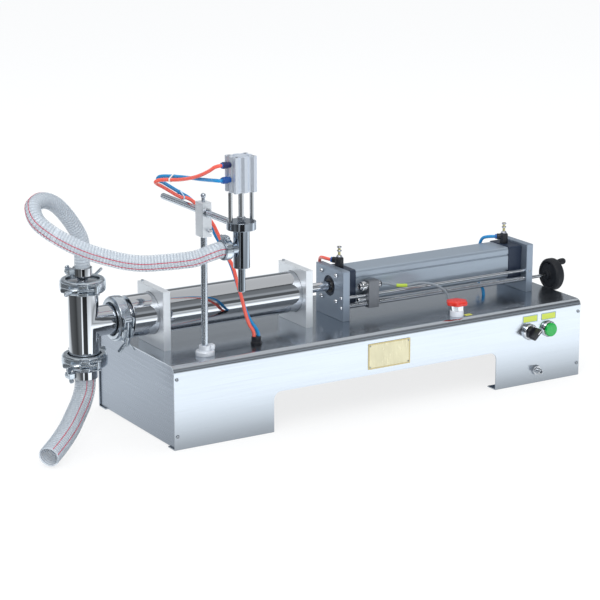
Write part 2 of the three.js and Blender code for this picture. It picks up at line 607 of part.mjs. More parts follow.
// Product cylinder: tube, end wall and a stub with the ferrule that meets the tee's branch
function buildProductCylinder() {
  const c = cylinder;
  const bore = c.outer - 2 * c.wall;
  const ferruleX = tee.branchX + gap;
  add('product_cylinder', turned('x', [
    [tee.inner, ferruleX], [ferrule.outer, ferruleX], [ferrule.outer, ferruleX + ferrule.thick],
    [tee.outer, ferruleX + ferrule.thick + gap], [tee.outer, c.startX], [c.outer, c.startX], [c.outer, c.endX],
    [bore, c.endX], [bore, c.startX + c.endWall], [tee.inner, c.startX + c.endWall], [tee.inner, ferruleX],
  ], [axis.y, axis.z], fineSides), polished);

  // The piston has two seal grooves and is held on the rod's spigot
  const p = piston;
  const from = p.homeX;
  const to = from + p.length;
  const outer = bore - 2 * p.runningGap;
  const inGroove = outer - 2 * p.groove;
  const step = [from + p.grooveEdge, from + p.grooveEdge + p.grooveWidth];
  const back = [to - p.grooveEdge - p.grooveWidth, to - p.grooveEdge];
  const spigotBore = rod.spigot + 2 * gap;
  add('product_piston', turned('x', [
    [spigotBore, from], [outer, from], [outer, step[0]], [inGroove, step[0]], [inGroove, step[1]],
    [outer, step[1]], [outer, back[0]], [inGroove, back[0]], [inGroove, back[1]], [outer, back[1]], [outer, to],
    [spigotBore, to], [spigotBore, from],
  ], [axis.y, axis.z], fineSides), white);

  // One rod carries both pistons; the air piston is clamped on it inside the barrel
  const a = airPiston;
  const airOuter = barrel.bore - 2 * a.runningGap;
  add('piston_rod', turned('x', [
    [0, from - rod.spigot / 2], [rod.diameter, from - rod.spigot / 2], [rod.diameter, from - gap],
    [rod.spigot, from - gap], [rod.spigot, to + gap], [rod.diameter, to + gap], [rod.diameter, a.homeX],
    [airOuter, a.homeX], [airOuter, a.homeX + a.length], [rod.diameter, a.homeX + a.length],
    [rod.diameter, a.homeX + a.length + rod.spigot], [0, a.homeX + a.length + rod.spigot],
  ], [axis.y, axis.z], fineSides), polished);
}

// Mounting plates, caps and barrel of the air cylinder
function buildAirCylinder() {
  const across = [axis.y, axis.z];
  const back = plate.front + plate.depth;
  const top = deck + plate.height;
  const rodBore = rod.diameter + 2 * gap;
  const frontPlateEnd = plate.frontX + plate.thick;
  const adjusterAcross = [adjuster.y, adjuster.screwZ];
  add('front_mount_plate', cut(
    box(plate.frontX, frontPlateEnd, plate.front, back, deck, top),
    round('x', plate.frontX - overrun, frontPlateEnd + overrun, across, cap.nose + 2 * gap),
    round('x', frontPlateEnd - adjuster.journalDepth - gap, frontPlateEnd + overrun, adjusterAcross,
      adjuster.journal + 2 * gap, smallSides),
  ), milled);
  add('rear_mount_plate', cut(
    box(plate.rearX, plate.rearX + plate.thick, plate.front, back, deck, top),
    round('x', plate.rearX - overrun, plate.rearX + plate.thick + overrun, adjusterAcross,
      adjuster.journal + 2 * gap, smallSides),
  ), milled);

  const capBlock = (x, length) => extruded(roundedRectangle(cap.size, cap.size, cap.corner), length, 'x')
    .translate(x, ...across);
  const port2 = (x) => round('z', axis.z, axis.z + cap.size / 2 + overrun, [x, axis.y], flow.needle, smallSides);
  const noseStart = plate.frontX + cap.recess;
  const barrelStart = frontPlateEnd + cap.frontLength;
  add('front_cap', cut(
    join(capBlock(frontPlateEnd, cap.frontLength), round('x', noseStart, frontPlateEnd + gap, across, cap.nose)),
    round('x', noseStart - overrun, barrelStart + overrun, across, rodBore),
    port2(flow.frontX),
  ), black);
  const rearCapStart = plate.rearX - cap.rearLength;
  add('rear_cap', cut(
    capBlock(rearCapStart, cap.rearLength),
    round('x', rearCapStart - overrun, flow.rearX + flow.needle, across, rodBore),
    port2(flow.rearX),
  ), black);

  const slots = [];
  for (const offset of [-barrel.slotOffset, barrel.slotOffset]) {
    for (const side of [-1, 1]) {
      const edge = side * (barrel.size / 2);
      const inner = edge - side * barrel.slotDepth;
      const outer = edge + side * overrun;
      const half = barrel.slotWidth / 2;
      const [y0, y1] = [Math.min(inner, outer), Math.max(inner, outer)];
      slots.push(box(barrelStart - overrun, rearCapStart + overrun, axis.y + y0, axis.y + y1,
        axis.z + offset - half, axis.z + offset + half));
    }
  }
  add('barrel', cut(
    extruded(roundedRectangle(barrel.size, barrel.size, barrel.corner), rearCapStart - barrelStart, 'x')
      .translate(barrelStart, ...across),
    round('x', barrelStart - overrun, rearCapStart + overrun, across, barrel.bore, fineSides),
    ...slots,
  ), milled);
}

// Flow control: a body on the cap's port, an arm for the tube and a needle screw in the top
function buildFlowControl(name, screwName, x, angle) {
  const f = flow;
  const foot = axis.z + cap.size / 2;
  const armAcross = foot + f.armRise;
  const armRound = round('x', 0, f.armReach, [0, armAcross], f.arm, smallSides);
  armRound.rotateZ(angle).translate(x, axis.y, 0);
  add(name, cut(
    join(
      hexagon('z', foot, foot + f.height, [x, axis.y], f.body),
      round('z', foot - f.needle, foot + gap, [x, axis.y], f.needle - 2 * gap, smallSides),
      armRound,
    ),
    round('z', foot + f.height - f.seat, foot + f.height + overrun, [x, axis.y], f.needle + 2 * gap, smallSides),
  ), black);
  const screwFoot = foot + f.height - f.seat + gap;
  const knobFoot = foot + f.height + f.stem - f.knobHeight;
  const nutTop = foot + f.height + gap + f.knobHeight / 2;
  add(screwName, join(
    round('z', screwFoot, knobFoot + gap, [x, axis.y], f.needle, smallSides),
    hexagon('z', foot + f.height + gap, nutTop, [x, axis.y], f.knob),
    round('z', knobFoot, knobFoot + f.knobHeight, [x, axis.y], f.knob, smallSides),
  ), brass);
}

// Adjuster: guide rod and screw between the plates, carriage with sensor, handwheel and crank
function buildAdjuster() {
  const a = adjuster;
  const leftEnd = plate.frontX + plate.thick;
  const rightEnd = plate.rearX;
  const through = plate.rearX + plate.thick;
  const wheelEnd = wheel.startX + wheel.thick;
  add('guide_rod', round('x', leftEnd, rightEnd, [a.y, a.guideZ], a.guide, smallSides), polished);
  add('adjusting_screw', turned('x', [
    [0, leftEnd - a.journalDepth], [a.journal, leftEnd - a.journalDepth], [a.journal, leftEnd + gap],
    [a.screw, leftEnd + gap], [a.screw, rightEnd - gap], [a.journal, rightEnd - gap],
    [a.journal, wheelEnd - wheel.rim / 2], [0, wheelEnd - wheel.rim / 2],
  ], [a.y, a.screwZ], smallSides), polished);

  const c = carriage;
  const right = c.startX + c.thick;
  const sensorAcross = [sensor.y, sensor.z];
  add('carriage', cut(
    join(
      box(c.startX, right, c.frontY, c.backY, c.bottomZ, c.topZ),
      round('x', c.startX - sensor.noseLength, right + sensor.tailLength, sensorAcross, sensor.body, smallSides),
      hexagon('x', c.startX - sensor.nutThick, c.startX + gap, sensorAcross, sensor.nut * Math.cos(Math.PI / 6)),
      round('x', c.startX - lockPin.length, c.startX + gap, [a.y, lockPin.z], lockPin.diameter, smallSides),
    ),
    round('x', c.startX - overrun, right + overrun, [a.y, a.guideZ], a.guide + 2 * gap, smallSides),
    round('x', c.startX - lockPin.length - overrun, right + overrun, [a.y, a.screwZ], a.screw + 2 * gap, smallSides),
  ), milled);

  const w = wheel;
  const hubStart = w.startX - w.hubLength;
  const journalBore = a.journal + 2 * gap;
  const webStart = w.startX + (w.thick - w.web) / 2;
  const rimInner = w.diameter - 2 * w.rim;
  const crankAngle = Math.PI / 2;
  const { turnRadius } = crank;
  const crankAcross = [a.y + turnRadius * Math.cos(crankAngle), a.screwZ + turnRadius * Math.sin(crankAngle)];
  add('handwheel', cut(
    turned('x', [
      [0, hubStart], [w.hub, hubStart], [w.hub, webStart], [rimInner, webStart], [rimInner + gap, w.startX],
      [w.diameter - w.rim / 2, w.startX], [w.diameter, w.startX + w.rim / 2], [w.diameter, wheelEnd - w.rim / 2],
      [w.diameter - w.rim / 2, wheelEnd], [rimInner + gap, wheelEnd], [rimInner, webStart + w.web],
      [w.hub, webStart + w.web], [w.hub, wheelEnd], [0, wheelEnd],
    ], [a.y, a.screwZ]),
    round('x', hubStart - overrun, wheelEnd - w.rim / 2 + gap, [a.y, a.screwZ], journalBore, smallSides),
    round('x', webStart - overrun, wheelEnd + overrun, crankAcross, crank.neck + 2 * gap, smallSides),
  ), rubber);
  const k = crank;
  const gripStart = wheelEnd + gap;
  add('crank_handle', turned('x', [
    [0, webStart], [k.neck, webStart], [k.neck, gripStart],
    ...gripShares.map(([width, along]) => [k.diameter * width, gripStart + k.length * along]),
  ], crankAcross, smallSides), rubber);
}

// A wing nut on a bolt along Y: a hub and two wings opposite each other, square to the lean and flared
function wingNut(w, across, y, lean) {
  const parts = [round('y', y - w.hubLength, y, across, w.hub, smallSides)];
  for (const side of [-1, 1]) {
    const shape = roundedRectangle(w.length, w.width, w.width / 2.2);
    const lobe = extruded(shape, w.thick, 'minusY', lobeSteps).translate(w.hub / 2 + w.length / 2 - 2 * gap, 0, 0);
    lobe.rotateZ(-w.flare).rotateY(-(lean + side * (Math.PI / 2)));
    lobe.translate(across[0], y - (w.hubLength - w.thick) / 2, across[1]);
    parts.push(lobe);
  }
  return join(...parts);
}

// Clamp round a pair of ferrules, turned about Z, with an ear and its wing nut at each angle about Z
function clampSolid(ears) {
  const c = clamp;
  const half = c.width / 2;
  const pocket = ferrule.outer + 2 * gap;
  const neck = tee.outer + 2 * gap + 2 * c.lip;
  const mouth = ferrule.thick + 2 * gap;
  const band = turned('z', [
    [neck, -half], [c.outer - c.lip, -half], [c.outer, -half + c.lip / 2], [c.outer, half - c.lip / 2],
    [c.outer - c.lip, half], [neck, half], [neck, mouth + gap], [pocket, mouth], [pocket, -mouth],
    [neck, -mouth - gap], [neck, -half],
  ], [0, 0], fineSides);
  const pieces = [band];
  const from = c.outer / 2 - 2 * c.lip;
  const earHalf = [c.earDepth / 2, half * c.earShare];
  for (const [turn, lean] of ears) {
    pieces.push(join(
      box(from, from + c.lip + c.ear, -earHalf[0], earHalf[0], -earHalf[1], earHalf[1]),
      wingNut(wing, [from + c.lip + c.ear * c.boltShare, 0], -earHalf[0] + gap, lean),
    ).rotateZ(turn));
  }
  return join(...pieces);
}

function buildTee() {
  const t = tee;
  const across = [t.x, axis.y];
  const branchAcross = [axis.y, axis.z];
  const shell = join(
    round('z', t.bottomZ, t.topZ, across, t.outer, fineSides),
    round('z', t.bottomZ, t.bottomZ + ferrule.thick, across, ferrule.outer, fineSides),
    round('z', t.topZ - ferrule.thick, t.topZ, across, ferrule.outer, fineSides),
    round('x', t.x, t.branchX, branchAcross, t.outer, fineSides),
    round('x', t.branchX - ferrule.thick, t.branchX, branchAcross, ferrule.outer, fineSides),
  );
  const hollow = cut(shell,
    round('z', t.bottomZ - overrun, t.topZ + overrun, across, t.inner, fineSides),
    round('x', t.x, t.branchX + overrun, branchAcross, t.inner, fineSides),
  );
  const inside = (t.inner + t.outer) / 4;
  const seat = ring('z', t.seatZ, t.seatZ + t.seatThick, across, 2 * inside, ball.seat, fineSides);
  const pins = [t.bottomZ - gap, t.seatZ + t.seatThick].map((seatTop) => {
    const z = seatTop + ballRest() + ball.diameter / 2 + ball.lift + gap + t.pin / 2;
    return round('y', axis.y - inside, axis.y + inside, [t.x, z], t.pin, smallSides);
  });
  add('tee_body', join(hollow, seat, ...pins), polished);

  add('tee_clamp_top', clampSolid([[clamp.front, Math.PI / 2], [clamp.back, 0]])
    .translate(t.x, axis.y, t.topZ + gap / 2), cast);
  add('tee_clamp_bottom', clampSolid([[clamp.front, Math.PI / 2], [clamp.back, Math.PI / 3]])
    .translate(t.x, axis.y, t.bottomZ - gap / 2), cast);
  const branchClamp = clampSolid([[0, 0]]);
  branchClamp.rotateY(-Math.PI / 2).rotateX(clamp.branchLean);
  add('tee_clamp_branch', branchClamp.translate(t.branchX + gap / 2, axis.y, axis.z), cast);
}

// How far a ball's centre lies over the edge of the seat that it rests on, with a small gap
function ballRest() {
  const radius = ball.diameter / 2;
  return Math.sqrt(radius ** 2 - (ball.seat / 2) ** 2) + gap;
}

// A spigot: ferrule, pipe and the band that holds the hose's end, with the band's wing screw
function spigotSolid(from, { pipe, bore, cover, coverDisc, collarZ, collar }, sign) {
  const grip = collarZ + sign * hoseGrip;
  const floor = collarZ - sign * collarWall;
  const profile = [
    [bore, from], [ferrule.outer, from], [ferrule.outer, from + sign * ferrule.thick],
    [coverDisc, from + sign * ferrule.thick], [coverDisc, from + sign * cover], [pipe, from + sign * (cover + gap)],
    [pipe, floor], [collar, floor], [collar, grip], [collar - 2 * collarWall, grip],
    [collar - 2 * collarWall, collarZ], [bore, collarZ], [bore, from],
  ];
  if (sign < 0) profile.reverse();
  return turned('z', profile, [tee.x, axis.y]);
}

function buildSpigots() {
  const topFrom = tee.topZ + gap;
  const bottomFrom = tee.bottomZ - gap;
  const screwY = axis.y + screwWing.hubLength;
  const outletCollar = outlet.collarZ + hoseGrip / 2;
  const outletEar = tee.x - outlet.collar / 2;
  add('outlet_spigot', join(
    spigotSolid(topFrom, outlet, 1),
    wingNut(screwWing, [outletEar - screwWing.hub / 2 + 2 * gap, outletCollar], screwY, Math.PI / 6),
  ), polished);
  const inletCollar = inlet.collarZ - hoseGrip / 2;
  const inletEar = tee.x - inlet.collar / 2;
  add('inlet_spigot', join(
    spigotSolid(bottomFrom, inlet, -1),
    wingNut(screwWing, [inletEar - screwWing.hub / 2 + 2 * gap, inletCollar], screwY, Math.PI / 14),
  ), polished);

  const valveBall = (z) => new THREE.SphereGeometry(ball.diameter / 2, roundSides, smallSides).rotateX(Math.PI / 2)
    .translate(tee.x, axis.y, z);
  add('outlet_ball', valveBall(tee.seatZ + tee.seatThick + ballRest()), polished);
  add('inlet_ball', valveBall(bottomFrom + ballRest()), polished);
}

// Post in its base, bracket on top and the thumb screw that holds the arm
function buildPost() {
  const p = post;
  const across = [p.x, p.y];
  const bore = p.diameter + 2 * gap;
  const baseTop = deck + p.baseHeight;
  const lug = p.baseDiameter / 2;
  const lugHalf = p.knuckle * p.lugShare;
  add('post_base', cut(
    join(
      round('z', deck, baseTop, across, p.baseDiameter),
      round('z', baseTop - gap, baseTop + p.knuckleHeight, across, p.knuckle),
      box(p.x, p.x + lug, p.y - lugHalf, p.y + lugHalf, baseTop - gap, baseTop + p.knuckleHeight),
    ),
    round('z', deck - overrun, baseTop + p.knuckleHeight + overrun, across, bore, smallSides),
  ), polished);
  const stopTop = underDeck - gap;
  add('post', join(
    round('z', p.bottomZ, p.topZ, across, p.diameter, smallSides),
    round('z', stopTop - p.stopHeight, stopTop, across, p.stop, smallSides),
  ), polished);

  const b = bracket;
  const armHole = round('y', p.y - b.depth, p.y + b.depth, [p.x, b.armZ], arm.diameter + 2 * gap, smallSides);
  add('clamp_block', cut(
    box(p.x - b.width / 2, p.x + b.width / 2, p.y - b.depth / 2, p.y + b.depth / 2, b.bottomZ, b.topZ),
    round('z', b.bottomZ - overrun, p.topZ + gap, across, bore, smallSides),
    armHole,
    round('z', b.armZ, b.topZ + overrun, across, thumb.shank + 2 * gap, smallSides),
  ), milled);

  const shankFoot = b.armZ + arm.diameter / 2 + gap;
  const ballZ = b.topZ + thumb.neck;
  const knob = new THREE.SphereGeometry(thumb.ball / 2, smallSides, smallSides / 2)
    .rotateX(Math.PI / 2)
    .translate(p.x, p.y, ballZ);
  add('thumb_screw', join(round('z', shankFoot, ballZ, across, thumb.shank, smallSides), knob), chrome);
}

// Outline of the compact cylinder: square with rounded scallops along each long side
function scallopedShape() {
  const { width, depth, scallop, scallopOffset, scallopShare } = actuator;
  const [w, d] = [width / 2, depth / 2];
  const shape = new THREE.Shape();
  shape.moveTo(-w, -d);
  const sides = [[1, 0, w, d], [0, 1, d, w], [-1, 0, w, d], [0, -1, d, w]];
  for (const [ux, uy, along, out] of sides) {
    const at = (s, depthIn) => [ux * s + uy * (out - depthIn), uy * s - ux * (out - depthIn)];
    for (const centre of [-scallopOffset, scallopOffset]) {
      shape.lineTo(...at(centre - scallop, 0));
      for (let k = 1; k < arcSteps; k += 1) {
        const angle = (Math.PI * k) / arcSteps;
        shape.lineTo(...at(centre - scallop * Math.cos(angle), scallop * scallopShare * Math.sin(angle)));
      }
      shape.lineTo(...at(centre + scallop, 0));
    }
    shape.lineTo(...at(along, 0));
  }
  return shape;
}

function buildHead() {
  const across = [post.x, head.y];
  const h = head;
  const flangeTop = h.flangeZ + h.flangeThick;
  const back = post.y + bracket.depth;

  // Arm: a round bar whose thinner end is screwed into the flange's side
  const neckStart = h.y + h.flange / 2;
  const armBody = round('y', neckStart + gap, arm.backY, [post.x, bracket.armZ], arm.diameter, smallSides);
  const armNeck = round('y', neckStart - arm.neckLength, neckStart + 2 * gap, [post.x, bracket.armZ], arm.neck,
    smallSides);
  add('arm', join(armBody, armNeck), polished);

  // Nozzle body: flange, body tube with the side port, and the slim nozzle under it
  const stemBore = stem.diameter + 2 * gap;
  const collarAt = post.x - port.reach;
  const collarMouth = collarAt - hoseGrip;
  const outerProfile = turned('z', [
    [0, h.tipZ], [h.nozzle - 2 * h.tipTaper, h.tipZ], [h.nozzle, h.tipZ + 2 * h.tipTaper], [h.nozzle, h.bodyBottomZ],
    [h.body, h.bodyBottomZ], [h.body, h.flangeZ], [h.flange, h.flangeZ], [h.flange, flangeTop], [0, flangeTop],
  ], across, fineSides);
  const innerProfile = turned('z', [
    [0, h.tipZ - overrun], [h.nozzleBore, h.tipZ - overrun], [h.nozzleBore, h.bodyBottomZ],
    [h.bore, h.bodyBottomZ + gap], [h.bore, h.flangeZ], [stemBore, h.flangeZ + gap],
    [stemBore, flangeTop + overrun], [0, flangeTop + overrun],
  ], across, roundSides);
  const portAcross = [h.y, port.z];
  const portPipe = join(
    round('x', collarAt, post.x, portAcross, port.pipe),
    round('x', collarMouth, collarAt + collarWall, portAcross, port.collar),
  );
  add('nozzle_body', cut(
    join(outerProfile, portPipe),
    innerProfile,
    round('x', collarAt - overrun, post.x, portAcross, port.bore),
    round('x', collarMouth - overrun, collarAt, portAcross, hose + 2 * gap),
    round('y', neckStart - arm.neckLength - gap, neckStart + overrun, [post.x, bracket.armZ], arm.neck + 2 * gap,
      smallSides),
  ), polished);

  // Stem: opens the nozzle when the actuator lifts it
  const s = stem;
  const plugTop = h.tipZ + s.plugLength;
  const thinTop = h.flangeZ - s.nutHeight - s.stroke;
  add('nozzle_stem', join(
    turned('z', [
      [0, h.tipZ], [s.plug - 2 * s.plugTaper, h.tipZ], [s.plug, h.tipZ + s.plugTaper], [s.plug, plugTop],
      [s.thin, plugTop + s.plugTaper], [s.thin, thinTop], [s.diameter, thinTop + gap], [s.diameter, s.topZ],
      [0, s.topZ],
    ], across, smallSides),
    hexagon('z', s.nutZ, s.nutZ + s.nutHeight, across, s.nut),
  ), polished);

  // Actuator: scalloped compact cylinder on two pillars, with the push-in fittings on its left
  const a = actuator;
  const left = post.x - a.width / 2;
  const fittings = [fitting.upperZ, fitting.lowerZ].map((z) => (
    round('x', left - fitting.length, left + overrun, [h.y, z], fitting.diameter, smallSides)
  ));
  const pillars = [-a.pillarOffset, a.pillarOffset].map((offset) => (
    round('z', flangeTop, a.bottomZ + gap, [post.x + offset, h.y], a.pillar, smallSides)
  ));
  const bodyShape = extruded(scallopedShape(), a.topZ - a.bottomZ, 'z').translate(post.x, h.y, a.bottomZ);
  add('head_cylinder', cut(
    join(bodyShape, ...fittings, ...pillars),
    round('z', a.bottomZ - overrun, s.topZ + s.stroke + 2 * gap, across, stemBore, smallSides),
    ring('z', a.topZ - a.capRecess, a.topZ + overrun, across, 2 * (a.capRim + a.capRecess), 2 * a.capRim,
      roundSides),
  ), milled);

  // Bulkhead union on the deck: the two tubes of the head plug into it
  const u = bulkhead;
  const unionTop = deck + u.height + u.collarHeight;
  add('tube_bulkhead', join(
    round('z', deck, deck + u.height, [u.x, u.y], u.diameter),
    round('z', deck + u.height - gap, unionTop, [u.x, u.y], u.diameter * u.neckShare),
    round('z', underDeck - u.height, deck + gap, [u.x, u.y], u.diameter - 2 * cabinet.sheet - 2 * gap, smallSides),
  ), rubber);
}

// The half of a cord that lies on one side of the plane where it is parted
function halfCord(whole, plane, side) {
  whole.computeBoundingBox();
  const { min, max } = whole.boundingBox;
  const [from, to] = side > 0 ? [min.x - overrun, plane + gap / 2] : [plane - gap / 2, max.x + overrun];
  return cut(whole, box(from, to, min.y - overrun, max.y + overrun, min.z - overrun, max.z + overrun));
}

function buildCords() {
  const wholeHose = cord(hoseRoute, hose);
  add('product_hose_lower', halfCord(wholeHose, hoseSplitX, -1), clear, cords);
  add('product_hose_upper', halfCord(wholeHose, hoseSplitX, 1), clear, cords);
  add('suction_hose', cord(suctionRoute, suctionHose), clear, cords);
  const wholeRed = cord(redRoute, airTube);
  add('red_tube_upper', halfCord(wholeRed, tubeSplitX, -1), redPlastic, cords);
  add('red_tube_lower', halfCord(wholeRed, tubeSplitX, 1), redPlastic, cords);
  const wholeBlue = cord(blueRoute, airTube);
  add('blue_tube_upper', halfCord(wholeBlue, tubeSplitX, -1), bluePlastic, cords);
  add('blue_tube_lower', halfCord(wholeBlue, tubeSplitX, 1), bluePlastic, cords);
  add('sensor_cable', cord(cableRoute, cable), greyCable, cords);
  add('barrel_tube_red', cord(barrelRedRoute, airTube), redPlastic, cords);
  add('barrel_tube_blue', cord(barrelBlueRoute, airTube), bluePlastic, cords);
}

buildCabinet();
buildEndPanels();
buildFrontPlates();
buildPanelControls();
buildStopButton();
buildAirSupply();
buildBlocks();
buildProductCylinder();
buildAirCylinder();
buildFlowControl('flow_control_front', 'flow_screw_front', flow.frontX, (2 * Math.PI) / 3);
buildFlowControl('flow_control_rear', 'flow_screw_rear', flow.rearX, (5 * Math.PI) / 6);
buildAdjuster();
buildTee();
buildSpigots();
buildPost();
buildHead();
buildCords();

// Bottom centre of the box round everything but the hoses, tubes and cable
const solids = new THREE.Box3().setFromObject(machine);
const centre = solids.getCenter(new THREE.Vector3());
const group = new THREE.Group();
group.add(machine, cords);
group.position.set(-centre.x, -centre.y, -solids.min.z);

export default group;
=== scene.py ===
"""A bench-top piston filler for liquids, dressed for a studio picture.

Everything is in metres: X along the cylinders from the tee to the handwheel, Y from the operator's
side to the back, Z up from the bench. Places are measured from the cabinet's left front bottom corner,
and each finished piece is then set on the frame's own corner.
"""
import math

import bmesh
import bpy
import numpy as np
from mathutils.geometry import tessellate_polygon
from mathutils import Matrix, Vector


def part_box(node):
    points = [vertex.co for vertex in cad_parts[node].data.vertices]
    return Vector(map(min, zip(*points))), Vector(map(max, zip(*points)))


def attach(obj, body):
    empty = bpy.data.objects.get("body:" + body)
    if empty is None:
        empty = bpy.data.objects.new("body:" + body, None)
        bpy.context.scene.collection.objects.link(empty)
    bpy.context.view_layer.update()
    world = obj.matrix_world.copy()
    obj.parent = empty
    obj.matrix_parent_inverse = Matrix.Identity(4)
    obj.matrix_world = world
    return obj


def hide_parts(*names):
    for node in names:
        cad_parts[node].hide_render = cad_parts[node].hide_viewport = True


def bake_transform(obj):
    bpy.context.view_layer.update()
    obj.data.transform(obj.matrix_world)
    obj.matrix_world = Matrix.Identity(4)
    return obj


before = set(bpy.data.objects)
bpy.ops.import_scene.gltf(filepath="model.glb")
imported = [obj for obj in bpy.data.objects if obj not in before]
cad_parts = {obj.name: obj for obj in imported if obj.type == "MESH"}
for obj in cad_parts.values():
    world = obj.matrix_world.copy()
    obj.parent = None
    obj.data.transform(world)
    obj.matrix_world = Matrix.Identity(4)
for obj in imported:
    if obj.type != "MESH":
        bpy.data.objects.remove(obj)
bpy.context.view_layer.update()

# Camera
# A long lens stands at the left front and a little above the machine, so that the left end, the
# front and the deck all show, and the picture is nearly free of perspective.
camera_place = (-1.9264, -3.0785, 1.159)
camera_turn = math.radians(31.08)
camera_tip = math.radians(14.97)
camera_data = bpy.data.cameras.new("camera")
camera_data.sensor_width = 36
camera_data.lens = 129.2
camera = bpy.data.objects.new("camera", camera_data)
camera.location = camera_place
camera.rotation_euler = (math.pi / 2 - camera_tip, 0, -camera_turn)
bpy.context.scene.collection.objects.link(camera)
bpy.context.scene.camera = camera

# Hoses, tubes and the sensor's cable
# The clear hoses are soft plastic with a steel spiral in the wall, pushed into steel bands. The
# air tubes are plain coloured plastic, pushed into fittings. Each hangs in its own loose curve.
corner = np.array(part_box("cabinet_shell")[0])
hose_diameter = 0.027
suction_diameter = 0.036
tube_diameter = 0.006
cable_diameter = 0.0045
hose_parting_y = 0.042
tube_parting_x = 0.047
hose_route = [
    (-0.094, 0.139, 0.2843), (-0.094, 0.139, 0.314), (-0.095, 0.139, 0.341), (-0.105, 0.138, 0.362),
    (-0.124, 0.132, 0.388), (-0.148, 0.122, 0.411), (-0.177, 0.107, 0.423), (-0.201, 0.088, 0.418),
    (-0.205, 0.066, 0.401), (-0.191, 0.047, 0.384), (-0.169, 0.031, 0.368), (-0.145, 0.015, 0.355),
    (-0.119, 0, 0.345), (-0.092, -0.014, 0.337), (-0.066, -0.03, 0.334), (-0.041, -0.046, 0.336),
    (-0.016, -0.062, 0.339), (0.004, -0.075, 0.343), (0.023, -0.084, 0.3505), (0.037, -0.086, 0.354),
    (0.0437, -0.086, 0.354),
]
suction_route = [
    (-0.094, 0.139, 0.1177), (-0.094, 0.139, 0.098), (-0.098, 0.136, 0.082), (-0.109, 0.127, 0.066),
    (-0.127, 0.11, 0.053), (-0.152, 0.083, 0.041), (-0.181, 0.055, 0.031), (-0.215, 0.026, 0.021),
]
red_route = [
    (0.0447, -0.086, 0.49), (0.0415, -0.086, 0.49), (0.037, -0.08, 0.4875), (0.0345, -0.066, 0.4795),
    (0.032, -0.048, 0.471), (0.03, -0.028, 0.4635), (0.028, -0.008, 0.4575), (0.026, 0.012, 0.4525),
    (0.0225, 0.03, 0.449), (0.017, 0.046, 0.447), (0.009, 0.058, 0.445), (0.0065, 0.066, 0.441),
    (0.0125, 0.073, 0.436), (0.023, 0.078, 0.43), (0.034, 0.082, 0.4235), (0.046, 0.086, 0.416),
    (0.058, 0.09, 0.4085), (0.069, 0.094, 0.403), (0.08, 0.098, 0.4005), (0.091, 0.098, 0.394),
    (0.101, 0.096, 0.384), (0.112, 0.0915, 0.37), (0.123, 0.086, 0.353), (0.128, 0.083, 0.341),
    (0.132, 0.08, 0.33), (0.139, 0.075, 0.312), (0.1445, 0.0705, 0.293), (0.1495, 0.0675, 0.282),
    (0.153, 0.0635, 0.264), (0.1555, 0.059, 0.246), (0.16, 0.056, 0.227), (0.166, 0.055, 0.202),
    (0.1735, 0.054, 0.179), (0.1795, 0.0532, 0.169), (0.1818, 0.053, 0.161), (0.1818, 0.053, 0.1573),
]
blue_route = [
    (0.0447, -0.086, 0.466), (0.0415, -0.086, 0.466), (0.0383, -0.079, 0.4656), (0.038, -0.068, 0.464),
    (0.0374, -0.048, 0.4614), (0.0361, -0.027, 0.459), (0.0348, -0.006, 0.457), (0.0328, 0.014, 0.455),
    (0.0295, 0.032, 0.4532), (0.0257, 0.049, 0.4513), (0.0202, 0.063, 0.4496), (0.0166, 0.072, 0.4472),
    (0.017, 0.079, 0.4426), (0.025, 0.087, 0.437), (0.034, 0.092, 0.4325), (0.0445, 0.096, 0.426),
    (0.0565, 0.1, 0.4185), (0.0685, 0.104, 0.411), (0.079, 0.1075, 0.4045), (0.09, 0.109, 0.3975),
    (0.103, 0.107, 0.384), (0.114, 0.1035, 0.367), (0.1225, 0.0995, 0.351), (0.128, 0.096, 0.34),
    (0.1315, 0.093, 0.331), (0.1375, 0.088, 0.317), (0.144, 0.082, 0.301), (0.15, 0.078, 0.286),
    (0.154, 0.076, 0.274), (0.158, 0.073, 0.258), (0.161, 0.07, 0.244), (0.165, 0.066, 0.225),
    (0.171, 0.0625, 0.203), (0.179, 0.059, 0.183), (0.187, 0.0555, 0.17), (0.1902, 0.053, 0.161),
    (0.1902, 0.053, 0.1573),
]
cable_route = [
    (0.4673, 0.0975, 0.202), (0.478, 0.094, 0.2015), (0.493, 0.088, 0.1975), (0.514, 0.082, 0.196),
    (0.535, 0.078, 0.198), (0.556, 0.073, 0.195), (0.574, 0.068, 0.187), (0.585, 0.064, 0.176),
    (0.588, 0.061, 0.162), (0.589, 0.06, 0.15), (0.589, 0.06, 0.1443),
]
barrel_red_route = [
    (0.3973, 0.1532, 0.243), (0.3953, 0.1567, 0.243), (0.3938, 0.166, 0.243), (0.3945, 0.177, 0.242),
    (0.396, 0.187, 0.2395), (0.399, 0.1945, 0.231), (0.401, 0.198, 0.219), (0.402, 0.1985, 0.204),
    (0.402, 0.1985, 0.18), (0.402, 0.1985, 0.136),
]
barrel_blue_route = [
    (0.7508, 0.1472, 0.243), (0.7473, 0.1492, 0.243), (0.7405, 0.1565, 0.2418), (0.737, 0.1655, 0.238),
    (0.737, 0.1735, 0.2285), (0.738, 0.1785, 0.212), (0.738, 0.179, 0.194), (0.738, 0.179, 0.18),
    (0.7355, 0.1755, 0.168), (0.728, 0.165, 0.1605), (0.717, 0.147, 0.1585), (0.709, 0.13, 0.158),
    (0.705, 0.119, 0.155), (0.704, 0.115, 0.147), (0.704, 0.115, 0.136),
]


